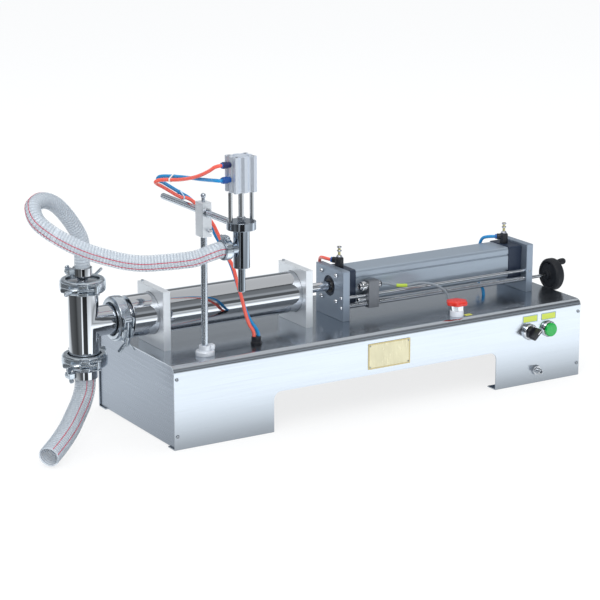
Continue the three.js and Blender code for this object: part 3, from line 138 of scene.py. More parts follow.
def smooth_line(route, step=0.002):
    """Points a step apart on the centripetal Catmull-Rom curve through the route. Each stretch is a
    cubic whose end slopes come from the neighbouring stretches, weighted by the root of their length."""
    points = np.array(route, float)
    ends = np.vstack([2 * points[0] - points[1], points, 2 * points[-1] - points[-2]])
    before, start, end, after = ends[:-3], ends[1:-2], ends[2:-1], ends[3:]
    root = lambda a, b: np.sqrt(np.linalg.norm(b - a, axis=1))[:, None]
    d0, d1, d2 = root(before, start), root(start, end), root(end, after)
    slope_in = (start - before) / d0 - (end - before) / (d0 + d1) + (end - start) / d1
    slope_out = (end - start) / d1 - (after - start) / (d1 + d2) + (after - end) / d2
    t = np.linspace(0, 1, 40, endpoint=False)[None, :, None]
    a, b = start[:, None], end[:, None]
    m, n = (slope_in * d1)[:, None], (slope_out * d1)[:, None]
    fine = a + m * t + (3 * b - 3 * a - 2 * m - n) * t**2 + (2 * a - 2 * b + m + n) * t**3
    fine = np.vstack([fine.reshape(-1, 3), points[-1]])
    along = np.append(0, np.cumsum(np.linalg.norm(np.diff(fine, axis=0), axis=1)))
    places = np.linspace(0, along[-1], max(8, int(along[-1] / step)) + 1)
    return np.stack([np.interp(places, along, fine[:, k]) for k in range(3)], axis=1)


def parted(line, past):
    """A line's stretches before and after the first of its points that lies past the parting plane."""
    crossing = int(np.argmax(past))
    return line[:crossing + 1], line[crossing:]


def lie_of(line):
    """Two unit vectors square to a line at each of its points. The first is carried from point to
    point and squared up against the line, so that it turns as little as it can."""
    tangents = np.gradient(line, axis=0)
    tangents /= np.linalg.norm(tangents, axis=1)[:, None]
    side = np.cross(tangents[0], (0.3, 0.2, 1))
    sides = []
    for tangent in tangents:
        side = side - tangent * side.dot(tangent)
        side = side / np.linalg.norm(side)
        sides.append(side)
    sides = np.array(sides)
    return sides, np.cross(tangents, sides)


def swept(line, radius, sides, turn=0.0):
    """Rings of points round a line: ring i is the circle of that radius, square to the line there.
    radius may be one number or one for each ring."""
    side, up = lie_of(line)
    angle = (np.arange(sides) / sides * 2 * math.pi + turn)[None, :, None]
    reach = np.broadcast_to(np.asarray(radius, float), len(line))[:, None, None]
    return line[:, None] + reach * (np.cos(angle) * side[:, None] + np.sin(angle) * up[:, None])


def grid_faces(rows, columns, wrap_rows, wrap_columns):
    """Quads between neighbouring rows and columns of a grid, past its last row or column if it wraps."""
    r = np.arange(rows if wrap_rows else rows - 1)[:, None]
    c = np.arange(columns if wrap_columns else columns - 1)[None, :]
    r2, c2 = (r + 1) % rows, (c + 1) % columns
    corners = (r * columns + c, r * columns + c2, r2 * columns + c2, r2 * columns + c)
    return np.stack([k.ravel() for k in np.broadcast_arrays(*corners)], axis=1).tolist()


def rod(rings):
    """A closed shell from rings of points, with a flat end on the first and the last ring."""
    rows, columns = rings.shape[:2]
    faces = grid_faces(rows, columns, False, True)
    faces += [list(range(columns)), list(range((rows - 1) * columns, rows * columns))[::-1]]
    return rings.reshape(-1, 3), faces


def pipe(outer, inner):
    """A closed shell with a wall: out along the outer rings and back along the inner ones."""
    rings = np.concatenate([outer, inner[::-1]])
    return rings.reshape(-1, 3), grid_faces(*rings.shape[:2], True, True)


def spiral(line, radius, pitch, wire, sides=5, steps=18):
    """A wire wound round a line: its own line is point + radius (cos t side + sin t up), where t goes
    once round for each pitch of the way along."""
    along = np.append(0, np.cumsum(np.linalg.norm(np.diff(line, axis=0), axis=1)))
    side, up = lie_of(line)
    places = np.linspace(0, along[-1], int(along[-1] / pitch * steps))
    at = lambda values: np.stack([np.interp(places, along, values[:, k]) for k in range(3)], axis=1)
    turn = (2 * math.pi * places / pitch)[:, None]
    return rod(swept(at(line) + radius * (np.cos(turn) * at(side) + np.sin(turn) * at(up)), wire, sides))


def turn_towards(line, at, direction):
    """The angle t at which cos t side + sin t up points most nearly along a direction, at one point."""
    side, up = lie_of(line)
    return math.atan2(up[at].dot(direction), side[at].dot(direction))


def ribbed(line, radius, pitch, depth, sides):
    """Rings of points round a line, whose radius at angle a and way along s is radius - depth
    (1 - cos(a - 2 pi s / pitch)) / 2, so that a low ridge winds round over the wire."""
    side, up = lie_of(line)
    along = np.append(0, np.cumsum(np.linalg.norm(np.diff(line, axis=0), axis=1)))[:, None]
    angle = (np.arange(sides) / sides * 2 * math.pi)[None, :]
    reach = (radius - depth * (1 - np.cos(angle - 2 * math.pi * along / pitch)) / 2)[..., None]
    return line[:, None] + reach * (np.cos(angle)[..., None] * side[:, None] + np.sin(angle)[...,
                                                                                             None] * up[:,
                                                                                                        None])


def ribbon(line, radius, angle, width, thick):
    """A thin strip laid along a line's outer wall at one angle, a little proud of it."""
    side, up = lie_of(line)
    half = width / radius / 2
    spots = [(angle - half, 0), (angle - half, thick), (angle + half, thick), (angle + half, 0)]
    rings = np.stack([line + (radius - thick / 2 + h) * (math.cos(a) * side + math.sin(a) * up)
                      for a, h in spots], axis=1)
    return rod(rings)


def solid(name, shells, move=corner):
    """A mesh object of closed shells, with doubles merged and faces turned outwards."""
    built = bmesh.new()
    for vertices, faces in shells:
        made = [built.verts.new(v) for v in np.asarray(vertices) + move]
        for face in faces:
            built.faces.new([made[k] for k in face])
    bmesh.ops.remove_doubles(built, verts=built.verts, dist=1e-6)
    bmesh.ops.dissolve_degenerate(built, edges=built.edges, dist=1e-7)
    bmesh.ops.recalc_face_normals(built, faces=built.faces)
    mesh = bpy.data.meshes.new(name)
    built.to_mesh(mesh)
    built.free()
    made = bpy.data.objects.new(name, mesh)
    bpy.context.scene.collection.objects.link(made)
    return made


def worked(made, operation, tools):
    """made with each tool joined to it or cut from it, and its faces made whole again."""
    for tool in tools:
        other = solid("tool", [tool])
        step = made.modifiers.new("step", "BOOLEAN")
        step.operation, step.object, step.solver = operation, other, "EXACT"
        whole = bpy.data.meshes.new_from_object(made.evaluated_get(bpy.context.evaluated_depsgraph_get()))
        made.modifiers.clear()
        old, made.data = made.data, whole
        bpy.data.meshes.remove(old)
        bpy.data.objects.remove(other)
    return made


def piece(name, shells, finish, body=None, nodes=(), joins=(), cuts=(), crease=35, bevel=0.0):
    """One finished object: shells, with others joined to them and cut from them, its edges that turn
    by more than crease degrees kept sharp, and the sharpest ones broken by a bevel if it has one."""
    made = solid(name, shells)
    worked(made, "UNION", joins)
    worked(made, "DIFFERENCE", cuts)
    built = bmesh.new()
    built.from_mesh(made.data)
    for face in built.faces:
        face.smooth = True
    for edge in built.edges:
        edge.smooth = edge.calc_face_angle(0) < math.radians(crease)
    built.to_mesh(made.data)
    built.free()
    made.data.materials.clear()
    made.data.materials.append(finish)
    if bevel:
        broken = made.modifiers.new("broken edges", "BEVEL")
        broken.width, broken.segments, broken.angle_limit = bevel, 2, math.radians(50)
        broken.harden_normals = False
    made.modifiers.new("even shading", "WEIGHTED_NORMAL").keep_sharp = True
    if nodes:
        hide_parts(*nodes)
    if body:
        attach(made, body)
    return made


def finish(name, colour, metal, rough, grain, rough_swing=0.06, tint=0.06, bump=0.0, blotch=9.0,
           coat=0.0, alpha=1.0, streak=0.0):
    """A painted, ground or moulded surface. A fine noise, drawn out by the grain's scale along each
    axis, swings the roughness and lifts the surface, and a broad noise tints the colour."""
    made = bpy.data.materials.new(name)
    made.use_nodes = True
    nodes, links = made.node_tree.nodes, made.node_tree.links
    shader = nodes["Principled BSDF"]
    shader.inputs["Metallic"].default_value = metal
    shader.inputs["Coat Weight"].default_value = coat
    shader.inputs["Alpha"].default_value = alpha
    place = nodes.new("ShaderNodeTexCoord")
    stretch = nodes.new("ShaderNodeMapping")
    stretch.inputs["Scale"].default_value = grain
    links.new(place.outputs["Object"], stretch.inputs["Vector"])
    fine = nodes.new("ShaderNodeTexNoise")
    fine.inputs["Scale"].default_value = 1
    fine.inputs["Detail"].default_value = 3
    links.new(stretch.outputs["Vector"], fine.inputs["Vector"])
    broad = nodes.new("ShaderNodeTexNoise")
    broad.inputs["Scale"].default_value = blotch
    links.new(place.outputs["Object"], broad.inputs["Vector"])
    swing = nodes.new("ShaderNodeMapRange")
    swing.inputs["From Min"].default_value, swing.inputs["From Max"].default_value = 0.3, 0.7
    swing.inputs["To Min"].default_value = max(rough - rough_swing, 0.01)
    swing.inputs["To Max"].default_value = rough + rough_swing
    links.new(fine.outputs["Fac"], swing.inputs["Value"])
    links.new(swing.outputs["Result"], shader.inputs["Roughness"])
    paint = nodes.new("ShaderNodeMix")
    paint.data_type = "RGBA"
    shade = np.array(colour, float)
    paint.inputs["A"].default_value = (*np.clip(shade * (1 - tint), 0, 1), 1)
    paint.inputs["B"].default_value = (*np.clip(shade * (1 + tint), 0, 1), 1)
    blend = nodes.new("ShaderNodeMix")
    blend.inputs["Factor"].default_value = streak
    links.new(broad.outputs["Fac"], blend.inputs["A"])
    links.new(fine.outputs["Fac"], blend.inputs["B"])
    links.new(blend.outputs["Result"], paint.inputs["Factor"])
    links.new(paint.outputs["Result"], shader.inputs["Base Color"])
    if bump:
        lift = nodes.new("ShaderNodeBump")
        lift.inputs["Strength"].default_value = bump
        lift.inputs["Distance"].default_value = 0.0003
        links.new(fine.outputs["Fac"], lift.inputs["Height"])
        links.new(lift.outputs["Normal"], shader.inputs["Normal"])
    return made


clear_wall = finish("clear soft plastic", (0.76, 0.82, 0.88), 0, 0.2, (90, 90, 90), 0.05, 0.05, alpha=0.50)
spiral_steel = finish("spring wire", (0.11, 0.14, 0.19), 0.4, 0.4, (400, 400, 400))
red_line = finish("red line", (0.58, 0.02, 0.07), 0, 0.5, (300, 300, 300))
red_plastic = finish("red tube plastic", (0.86, 0.125, 0.085), 0, 0.22, (140, 140, 140), 0.05, 0.08, coat=0.3)
blue_plastic = finish("blue tube plastic", (0.014, 0.25, 0.56), 0, 0.22, (140, 140, 140), 0.05, 0.08,
                      coat=0.3)
grey_plastic = finish("grey cable sheath", (0.23, 0.26, 0.29), 0, 0.45, (200, 200, 200), 0.08, 0.1)
white_nylon = finish("white nylon", (0.80, 0.80, 0.78), 0, 0.4, (200, 200, 200))
pale_nylon = finish("pale blue nylon", (0.42, 0.62, 0.78), 0, 0.35, (200, 200, 200))
sleeve_green = finish("shrink sleeve", (0.42, 0.55, 0.05), 0, 0.4, (200, 200, 200))


def hose(name, node, line, diameter, turns, body=None, bend=None):
    """A clear hose: its wall, the spiral in the wall and the two red lines along it. The three share
    one centre line, so they follow its curves together."""
    outer = diameter / 2
    wall_thick, ridge = 0.003, 0.0005
    wire, pitch = 0.0009, 0.0052
    line_width, line_thick = 0.0010, 0.0004
    walls = [pipe(ribbed(line, outer, pitch, ridge, 40), swept(line, outer - wall_thick, 40))]
    wall = piece(name, walls, clear_wall, body, [node])
    coils = [spiral(line[3:-3], outer - wire - ridge, pitch, wire)]
    coil = piece(name + "_spiral", coils, spiral_steel, body)
    stripes = [ribbon(line, outer, turn, line_width, line_thick) for turn in turns]
    lines = piece(name + "_lines", stripes, red_line, body)
    if bend:
        for soft in (wall, coil, lines):
            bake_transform(soft)


def tube(name, node, line, diameter, plastic, body=None, bend=None, carried=()):
    """A thin tube or cable, which goes from one piece of the machine into another, and the small
    pieces that it carries."""
    made = piece(name, [rod(swept(line, diameter / 2, 20))], plastic, body, [node])
    if bend:
        for soft in (made, *carried):
            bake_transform(soft)


def tie_round(line, other, near, width=0.0026, wall=0.0009):
    """A strap round two tubes, square to the first one at its point nearest to near: two half
    circles about the tubes, a little wider than they are, and the straights between them."""
    at = int(np.argmin(np.linalg.norm(line - near, axis=1)))
    along = line[at + 1] - line[at - 1]
    along /= np.linalg.norm(along)
    close = other[np.linalg.norm(other - line[at], axis=1) < 4 * tube_diameter]
    partner = close[np.argmin(np.abs((close - line[at]) @ along))]
    across = partner - line[at] - along * (partner - line[at]).dot(along)
    u = across / np.linalg.norm(across)
    v = np.cross(along, u)
    t = np.linspace(-math.pi / 2, math.pi / 2, 13)[:, None]
    loop = lambda r: np.vstack([line[at] + across + r * (np.cos(t) * u + np.sin(t) * v),
                                line[at] - r * (np.cos(t) * u + np.sin(t) * v)])
    inner = tube_diameter / 2 + 0.0001
    rings = lambda r: np.stack([loop(r) - along * width / 2, loop(r) + along * width / 2])
    return pipe(rings(inner + wall), rings(inner))


def bend_between(body_a, body_b, line, axis):
    first, last = line[0] + corner, line[-1] + corner
    end = first.copy()
    end[axis] = last[axis]
    return body_a, body_b, first, end


hose_step = 0.0009
whole_hose = smooth_line(hose_route, hose_step)
hose_to_tee, hose_to_head = parted(whole_hose, whole_hose[:, 1] < hose_parting_y)
hose_to_head = hose_to_head[::-1]
front, right_hand, upward = np.array((-0.50, -0.83, 0.26)), np.array((0.86, -0.52, 0)), np.array((0.13, 0.22,
                                                                                                  0.97))
line_gap = math.radians(38)
low_front = front - 0.1 * upward
tee_turn = turn_towards(hose_to_tee, -1, low_front)
head_turn = turn_towards(hose_to_head, -1, low_front)
hose("hose_from_tee", "product_hose_lower", hose_to_tee, hose_diameter, (tee_turn, tee_turn + line_gap),
     bend=bend_between("base", "post", hose_to_tee, 1))
hose("hose_to_nozzle", "product_hose_upper", hose_to_head, hose_diameter, (head_turn, head_turn - line_gap),
     bend=bend_between("head", "post", hose_to_head, 0))
suction_line = smooth_line(suction_route, hose_step)
suction_turn = turn_towards(suction_line, len(suction_line) // 2, front + right_hand)
hose("hose_to_tank", "suction_hose", suction_line, suction_diameter, (suction_turn, suction_turn + line_gap),
     body="base")

red_whole, blue_whole = smooth_line(red_route), smooth_line(blue_route)
upper_tie_near, lower_tie_near = (0.0202, 0.039, 0.448), (0.072, 0.095, 0.402)
ties = {"red": [piece("upper_tie", [tie_round(red_whole, blue_whole, upper_tie_near)], white_nylon),
                piece("lower_tie", [tie_round(red_whole, blue_whole, lower_tie_near)], pale_nylon)],
        "blue": []}
for colour, whole, plastic in (("red", red_whole, red_plastic), ("blue", blue_whole, blue_plastic)):
    to_head, to_deck = parted(whole, whole[:, 0] > tube_parting_x)
    to_deck = to_deck[::-1]
    tube(f"{colour}_air_to_head", f"{colour}_tube_upper", to_head, tube_diameter, plastic,
         bend=bend_between("head", "post", to_head, 1), carried=ties[colour][:1])
    tube(f"{colour}_air_from_deck", f"{colour}_tube_lower", to_deck, tube_diameter, plastic,
         bend=bend_between("base", "post", to_deck, 2), carried=ties[colour][1:])
tube("red_air_to_barrel", "barrel_tube_red", smooth_line(barrel_red_route), tube_diameter, red_plastic,
     body="base")
tube("blue_air_to_barrel", "barrel_tube_blue", smooth_line(barrel_blue_route), tube_diameter, blue_plastic,
     body="base")
cable_line = smooth_line(cable_route)
sleeved = cable_line[(cable_line[:, 0] > 0.493) & (cable_line[:, 0] < 0.514)]
sleeve = piece("cable_sleeve", [rod(swept(sleeved, 0.0031, 24))], sleeve_green)
tube("sensor_lead", "sensor_cable", cable_line, cable_diameter, grey_plastic,
     bend=bend_between("carriage", "base", cable_line, 0), carried=[sleeve])


# Cabinet
# One stainless sheet is bent over the front, the deck and the back, and turned in at the foot, with
# an arch cut through front and back. A flat panel closes each end, held by screws through the front.
def extent(node):
    """A frame node's lowest and highest corner, measured from the cabinet's corner."""
    low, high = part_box(node)
    return np.array(low) - corner, np.array(high) - corner


def middle(node):
    """The middle of a frame node's box, measured from the cabinet's corner."""
    return sum(extent(node)) / 2


def set_along(direction, u, v, w):
    """Points from two coordinates across a direction and one along it, in X, Y, Z order."""
    order = {"x": (w, u, v), "y": (u, w, v), "z": (u, v, w)}[direction]
    return np.stack(np.broadcast_arrays(*order), axis=-1)


def arc(centre, radius, start, end, steps=8):
    """Points on a circle's arc between two angles, given in degrees."""
    angle = np.radians(np.linspace(start, end, steps + 1))
    return np.stack([centre[0] + radius * np.cos(angle), centre[1] + radius * np.sin(angle)], axis=1)


def circle(radius, centre=(0, 0), sides=64):
    """A whole circle, without its first point repeated."""
    return arc(centre, radius, 0, 360, sides)[:-1]


def rounded_box(low, high, radius, steps=6):
    """A rectangle between two corners, with a quarter circle in place of each of its corners."""
    (a, b), (c, d) = low, high
    turns = [((c - radius, b + radius), 270), ((c - radius, d - radius), 0), ((a + radius, d - radius), 90),
             ((a + radius, b + radius), 180)]
    return np.vstack([arc(centre, radius, start, start + 90, steps) for centre, start in turns])


def eased(points, ease, closed, steps=3):
    """A line with each corner drawn back by ease, at most 0.4 of its shorter side, and joined by the
    curve (1-t)^2 a + 2t(1-t) b + t^2 c, where b is the corner."""
    points = np.asarray(points, float)
    if not closed:
        inner = points[1:-1]
        before, after = points[:-2], points[2:]
    else:
        inner = points
        before, after = np.roll(points, 1, axis=0), np.roll(points, -1, axis=0)
    back, on = before - inner, after - inner
    back_length, on_length = np.linalg.norm(back, axis=1), np.linalg.norm(on, axis=1)
    reach = np.minimum(ease, 0.4 * np.minimum(back_length, on_length))[:, None]
    a, c = inner + back / back_length[:, None] * reach, inner + on / on_length[:, None] * reach
    t = np.linspace(0, 1, steps + 1)[None, :, None]
    curves = (1 - t) ** 2 * a[:, None] + 2 * t * (1 - t) * inner[:, None] + t**2 * c[:, None]
    curves = curves.reshape(-1, 2)
    return curves if closed else np.vstack([points[:1], curves, points[-1:]])


def turned(profile, direction, centre, sides=64, ease=0.0004):
    """A turned shell: a profile of (radius, place along the axis), from axis to axis or closed on
    itself, with eased corners, carried round the axis."""
    closed = tuple(profile[0]) == tuple(profile[-1])
    points = eased(profile[:-1] if closed else profile, ease, closed)
    angle = (np.arange(sides) / sides * 2 * math.pi)[None, :]
    radius, place = points[:, :1], points[:, 1:]
    rings = set_along(direction, centre[0] + radius * np.cos(angle), centre[1] + radius * np.sin(angle),
                      place)
    return rings.reshape(-1, 3), grid_faces(len(points), sides, closed, True)


def barrel_of(direction, start, end, centre, radius, ease=0.0004, sides=64):
    """A plain turned bar from one place to another."""
    return turned([(0, start), (radius, start), (radius, end), (0, end)], direction, centre, sides, ease)


def collar_of(direction, start, end, centre, outer, inner, ease=0.0004, sides=64):
    """A plain turned ring from one place to another."""
    corners = [(inner, start), (outer, start), (outer, end), (inner, end), (inner, start)]
    return turned(corners, direction, centre, sides, ease)


def slab(outline, direction, start, end, ease=0.0005, holes=(), steps=3):
    """A plate or bar of one outline, with holes through it and its edges rounded: ring k is the
    outline drawn in by ease (1 - sin t) at ease (1 - cos t) from the end, for t up to a right angle."""
    t = np.linspace(0, math.pi / 2, steps + 1) if ease else np.array([math.pi / 2])
    inset, depth = ease * (1 - np.sin(t)), ease * (1 - np.cos(t))
    insets = np.concatenate([inset, inset[::-1]])
    places = np.concatenate([start + depth, end - depth[::-1]])
    vertices, faces, first_ring, last_ring, caps = [], [], [], [], []
    count = 0
    for turn, loop in [(1, outline), *((-1, hole) for hole in holes)]:
        loop = np.asarray(loop, float)
        after = np.roll(loop, -1, axis=0)
        if turn * np.sum(loop[:, 0] * after[:, 1] - after[:, 0] * loop[:, 1]) < 0:
            loop = loop[::-1]
        run = np.roll(loop, -1, axis=0) - loop
        run /= np.linalg.norm(run, axis=1)[:, None]
        left = np.stack([-run[:, 1], run[:, 0]], axis=1)
        left_before = np.roll(left, 1, axis=0)
        inward = (left + left_before) / (1 + np.sum(left * left_before, axis=1))[:, None]
        flat = loop[None] + insets[:, None, None] * inward[None]
        rings = set_along(direction, flat[..., 0], flat[..., 1], places[:, None])
        rows, columns = rings.shape[:2]
        vertices.append(rings.reshape(-1, 3))
        faces += [[k + count for k in face] for face in grid_faces(rows, columns, False, True)]
        first_ring += range(count, count + columns)
        last_ring += range(count + (rows - 1) * columns, count + rows * columns)
        caps.append([(*point, 0) for point in flat[0]])
        count += rows * columns
    for triangle in tessellate_polygon(caps):
        faces.append([first_ring[k] for k in triangle])
        faces.append([last_ring[k] for k in triangle][::-1])
    return np.vstack(vertices), faces


def brick(low, high, ease=0.0005, corner_radius=0.0006):
    """A block between two corners, with all its edges broken."""
    return slab(rounded_box(low[1:], high[1:], corner_radius, 3), "x", low[0], high[0], ease)


def button_screw(direction, face, centre, radius, out=1):
    """A low domed screw head standing on a face, with a well in its middle for the key."""
    profile = [(0, face), (radius, face), (radius, face + out * radius * 0.25),
               (radius * 0.75, face + out * radius * 0.75), (radius * 0.42, face + out * radius * 0.85),
               (radius * 0.42, face + out * radius * 0.3), (0, face + out * radius * 0.3)]
    return turned(profile, direction, centre, 32, radius * 0.12)


def socket_screw(direction, face, centre, radius, out=1):
    """A cylinder-head screw standing on a face, its head hollow where the key goes."""
    top = face + out * radius * 1.4
    deep = face + out * radius * 0.7
    profile = [(0, face), (radius, face), (radius, top), (radius * 0.55, top), (radius * 0.55, deep),
               (0, deep)]
    return turned(profile, direction, centre, 24, radius * 0.12)


sheet = 0.002
bend_radius = 0.0115
foot_width = 0.025
arch_height, arch_corner = 0.071, 0.014
leg_left, leg_right = 0.190, 0.188
cabinet_length, cabinet_depth, deck_height = extent("cabinet_shell")[1]
under_deck = deck_height - sheet
folded_steel = finish("brushed cabinet steel", (0.56, 0.60, 0.65), 1, 0.20, (6, 700, 700), 0.07, 0.05, 0.10,
                      blotch=3, streak=0.6)
end_steel = finish("brushed end panel steel", (0.40, 0.44, 0.50), 1, 0.30, (700, 8, 700), 0.06, 0.04, 0.10,
                   blotch=3, streak=0.5)
zinc_screw = finish("zinc screw", (0.50, 0.53, 0.57), 1, 0.28, (800, 800, 800), 0.08, 0.1, 0.1)

inner_bend = bend_radius - sheet
half_outer = np.vstack([arc((bend_radius, deck_height - bend_radius), bend_radius, 180, 90, 12)])
half_inner = np.vstack([arc((bend_radius, deck_height - bend_radius), inner_bend, 90, 180, 12)])
mirrored = lambda points: np.stack([cabinet_depth - points[:, 0], points[:, 1]], axis=1)[::-1]
toe = 0.0018
left_foot = np.vstack([[(foot_width, sheet), (foot_width, 0)], arc((toe, toe), toe, 270, 180, 4)])
folded_outline = np.vstack([
    [(sheet, sheet)], left_foot, half_outer, mirrored(half_outer), mirrored(left_foot),
    [(cabinet_depth - sheet, sheet)], mirrored(half_inner), half_inner,
])
arch_right = cabinet_length - leg_right
arch_outline = np.vstack([
    [(leg_left, -0.01), (arch_right, -0.01)],
    arc((arch_right - arch_corner, arch_height - arch_corner), arch_corner, 0, 90, 10),
    arc((leg_left + arch_corner, arch_height - arch_corner), arch_corner, 90, 180, 10),
])
button_hole = 0.011
through = 0.004
cabinet_cuts = [slab(arch_outline, "y", -through, cabinet_depth + through, 0)]
for node in ("selector_bezel", "start_bezel"):
    cabinet_cuts.append(barrel_of("y", -through, sheet + through, middle(node)[[0, 2]], button_hole, 0))
cabinet_cuts.append(barrel_of("y", -through, sheet + through, middle("air_inlet")[[0, 2]], 0.0063, 0))
for node, radius in (("estop_base", button_hole), ("post_base", 0.006), ("tube_bulkhead", 0.0078)):
    place = middle(node)[:2] if node != "post_base" else middle("post")[:2]
    cabinet_cuts.append(barrel_of("z", under_deck - through, deck_height + through, place, radius, 0))
for route, radius in ((barrel_red_route, 0.0038), (barrel_blue_route, 0.0038), (cable_route, 0.0031)):
    cabinet_cuts.append(barrel_of("z", under_deck - through, deck_height + through, route[-1][:2], radius, 0))
piece("cabinet", [slab(folded_outline, "x", 0, cabinet_length, 0)], folded_steel, "base",
      ["cabinet_shell"], cuts=cabinet_cuts, bevel=0.0004)

for side in ("left", "right"):
    low, high = extent(f"{side}_end_panel")
    face_x = (low[0], low[0] + sheet) if side == "left" else (high[0] - sheet, high[0])
    edge = bend_radius - low[1]
    top_rounding = np.vstack([
        [(low[1], low[2]), (high[1], low[2])], arc((high[1] - edge, high[2] - edge), edge, 0, 90),
        arc((low[1] + edge, high[2] - edge), edge, 90, 180),
    ])
    flanges = [brick((low[0], y, low[2]), (high[0], y + sheet, high[2] - edge), 0.0003, 0.0003)
               for y in (low[1], high[1] - sheet)]
    piece(f"{side}_end", [slab(top_rounding, "x", *face_x, 0.0003), *flanges], end_steel,
          "base",
          [f"{side}_end_panel"])

screw_inset = 0.0055
screw_places = [(x, z) for x in (screw_inset, cabinet_length - screw_inset) for z in (0.122, 0.024)]
piece("front_screws", [button_screw("y", 0, place, 0.0031, -1) for place in screw_places], zinc_screw,
      "base")

# Bare plate
# A bare thin sheet of pale brass lies on the front. A rivet holds each of its corners.
plate_brass = finish("pale brass sheet", (0.66, 0.61, 0.42), 0.75, 0.34, (500, 30, 60), 0.08, 0.10, 0.06,
                     blotch=40)
low, high = extent("nameplate")
plate_outline = rounded_box(low[[0, 2]], high[[0, 2]], 0.0015)
rim = 0.0026
inner_outline = rounded_box(low[[0, 2]] + rim, high[[0, 2]] - rim, 0.001)
rivet = 0.0013
rivets = [button_screw("y", low[1], (x, z), rivet, -1) for x in (low[0] + 0.004, high[0] - 0.004)
          for z in (low[2] + 0.004, high[2] - 0.004)]
piece("bare_plate", [slab(plate_outline, "y", low[1] + 0.0003, high[1], 0.0002)], plate_brass,
      "base",
      ["nameplate"])
piece("bare_plate_rim", [slab(plate_outline, "y", low[1], low[1] + 0.0003, 0.0001, [inner_outline])],
      finish("brass rim", (0.52, 0.44, 0.24), 0.8, 0.3, (500, 30, 60)), "base")
piece("bare_plate_rivets", rivets, zinc_screw, "base")

# Labels
# Two thin bare plastic plates are glued over the buttons, and a yellow one lies by the stop button.
label_yellow = finish("yellow label", (0.63, 0.72, 0.10), 0, 0.4, (200, 200, 200), 0.05, 0.05)
label_border = finish("blue-grey label border", (0.30, 0.42, 0.50), 0, 0.4, (200, 200, 200), 0.05, 0.05)
deck_yellow = finish("deck label", (0.62, 0.62, 0.06), 0, 0.4, (200, 200, 200), 0.05, 0.05)
label_size, label_z, label_thick, label_rim = (0.033, 0.013), 0.123, 0.0004, 0.0012
for name, x in (("selector_label", 0.7255), ("start_label", 0.7668)):
    half_size = np.array(label_size) / 2
    outside = rounded_box((x, label_z) - half_size, (x, label_z) + half_size, 0.0012)
    inside = rounded_box((x, label_z) - half_size + label_rim, (x, label_z) + half_size - label_rim, 0.0006)
    piece(name, [slab(inside, "y", -label_thick, 0, 0.0001)], label_yellow, "base")
    piece(name + "_border", [slab(outside, "y", -label_thick * 1.2, 0, 0.0001, [inside])], label_border,
          "base")
tag = rounded_box((0.594, 0.0145), (0.608, 0.0235), 0.001)
piece("stop_label", [slab(tag, "z", deck_height, deck_height + label_thick, 0.0001)], deck_yellow,
      "base")

# Panel buttons
# Each has a chromed bezel clamped to the sheet by a nut behind it. The selector is a black knob with a
# bar and a white line, and the start button a green cap that is pressed in against a spring.
bright_chrome = finish("bright chrome", (0.72, 0.74, 0.77), 1, 0.07, (900, 900, 900), 0.03, 0.04)
black_moulding = finish("black moulding", (0.012, 0.013, 0.018), 0, 0.38, (600, 600, 600), 0.08, 0.2, 0.15)
white_line = finish("white line", (0.85, 0.85, 0.83), 0, 0.4, (400, 400, 400))
green_cap = finish("green cap", (0.0, 0.40, 0.055), 0, 0.26, (500, 500, 500), 0.05, 0.08, coat=0.4)
thread_radius, nut_size, nut_thick = 0.01075, 0.030, 0.005


def hexagon(across_flats, centre, turn=0):
    """The six corners of a nut's outline."""
    return circle(across_flats / math.sqrt(3), (0, 0), 6) @ np.array(
        [[math.cos(turn), math.sin(turn)], [-math.sin(turn), math.cos(turn)]]) + centre


def panel_bezel(node, mouth, well):
    """The bezel's ring, its threaded barrel through the sheet and the nut behind."""
    low, high = extent(node)
    place = (low + high)[[0, 2]] / 2
    outer = 0.01475
    front = [(mouth, low[1] + well), (mouth, low[1] + 0.0006), (mouth + 0.0008, low[1]),
             (outer - 0.0016, low[1]),
             (outer, low[1] + 0.002), (outer, -0.0002), (thread_radius, -0.0002), (thread_radius, high[1]),
             (0.0054, high[1]), (0.0054, low[1] + well), (mouth, low[1] + well)]
    bore = circle(thread_radius + 0.0002, place)
    nut = slab(hexagon(nut_size, place), "y", sheet, sheet + nut_thick, 0.0006, [bore])
    return [turned(front, "y", place), nut], place, low[1]


selector_shells, selector_at, bezel_face = panel_bezel("selector_bezel", 0.0115, 0.0004)
piece("selector_ring", selector_shells, bright_chrome, "base", ["selector_bezel"])
start_shells, start_at, bezel_face = panel_bezel("start_bezel", 0.0128, 0.0038)
piece("start_ring", start_shells, bright_chrome, "base", ["start_bezel"])

knob_low, knob_high = extent("selector_knob")
skirt_radius, skirt_face = 0.011, bezel_face - 0.0003 - 0.006
lever_half, lever_width = 0.0118, 0.0038
slant = np.array([[math.cos(math.pi / 4), math.sin(math.pi / 4)],
                  [-math.sin(math.pi / 4), math.cos(math.pi / 4)]])
lever_outline = rounded_box((-lever_half, -lever_width), (lever_half, lever_width),
                            0.0026) @ slant + selector_at
skirt = turned([(0, knob_high[1]), (0.0049, knob_high[1]), (0.0049, bezel_face - 0.0003),
                (skirt_radius, bezel_face - 0.0003), (skirt_radius, skirt_face + 0.001),
                (skirt_radius - 0.0015, skirt_face), (0, skirt_face)], "y", selector_at)
lever = slab(lever_outline, "y", knob_low[1], skirt_face + 0.001, 0.0012)
piece("selector_handle", [skirt], black_moulding, "selector", ["selector_knob"],
      joins=[lever])
line_outline = rounded_box((0.001, -0.0007), (lever_half - 0.0014, 0.0007), 0.0003) @ slant + selector_at
piece("selector_line", [slab(line_outline, "y", knob_low[1] - 0.0001, knob_low[1] + 0.0006, 0.0001)],
      white_line,
      "selector")

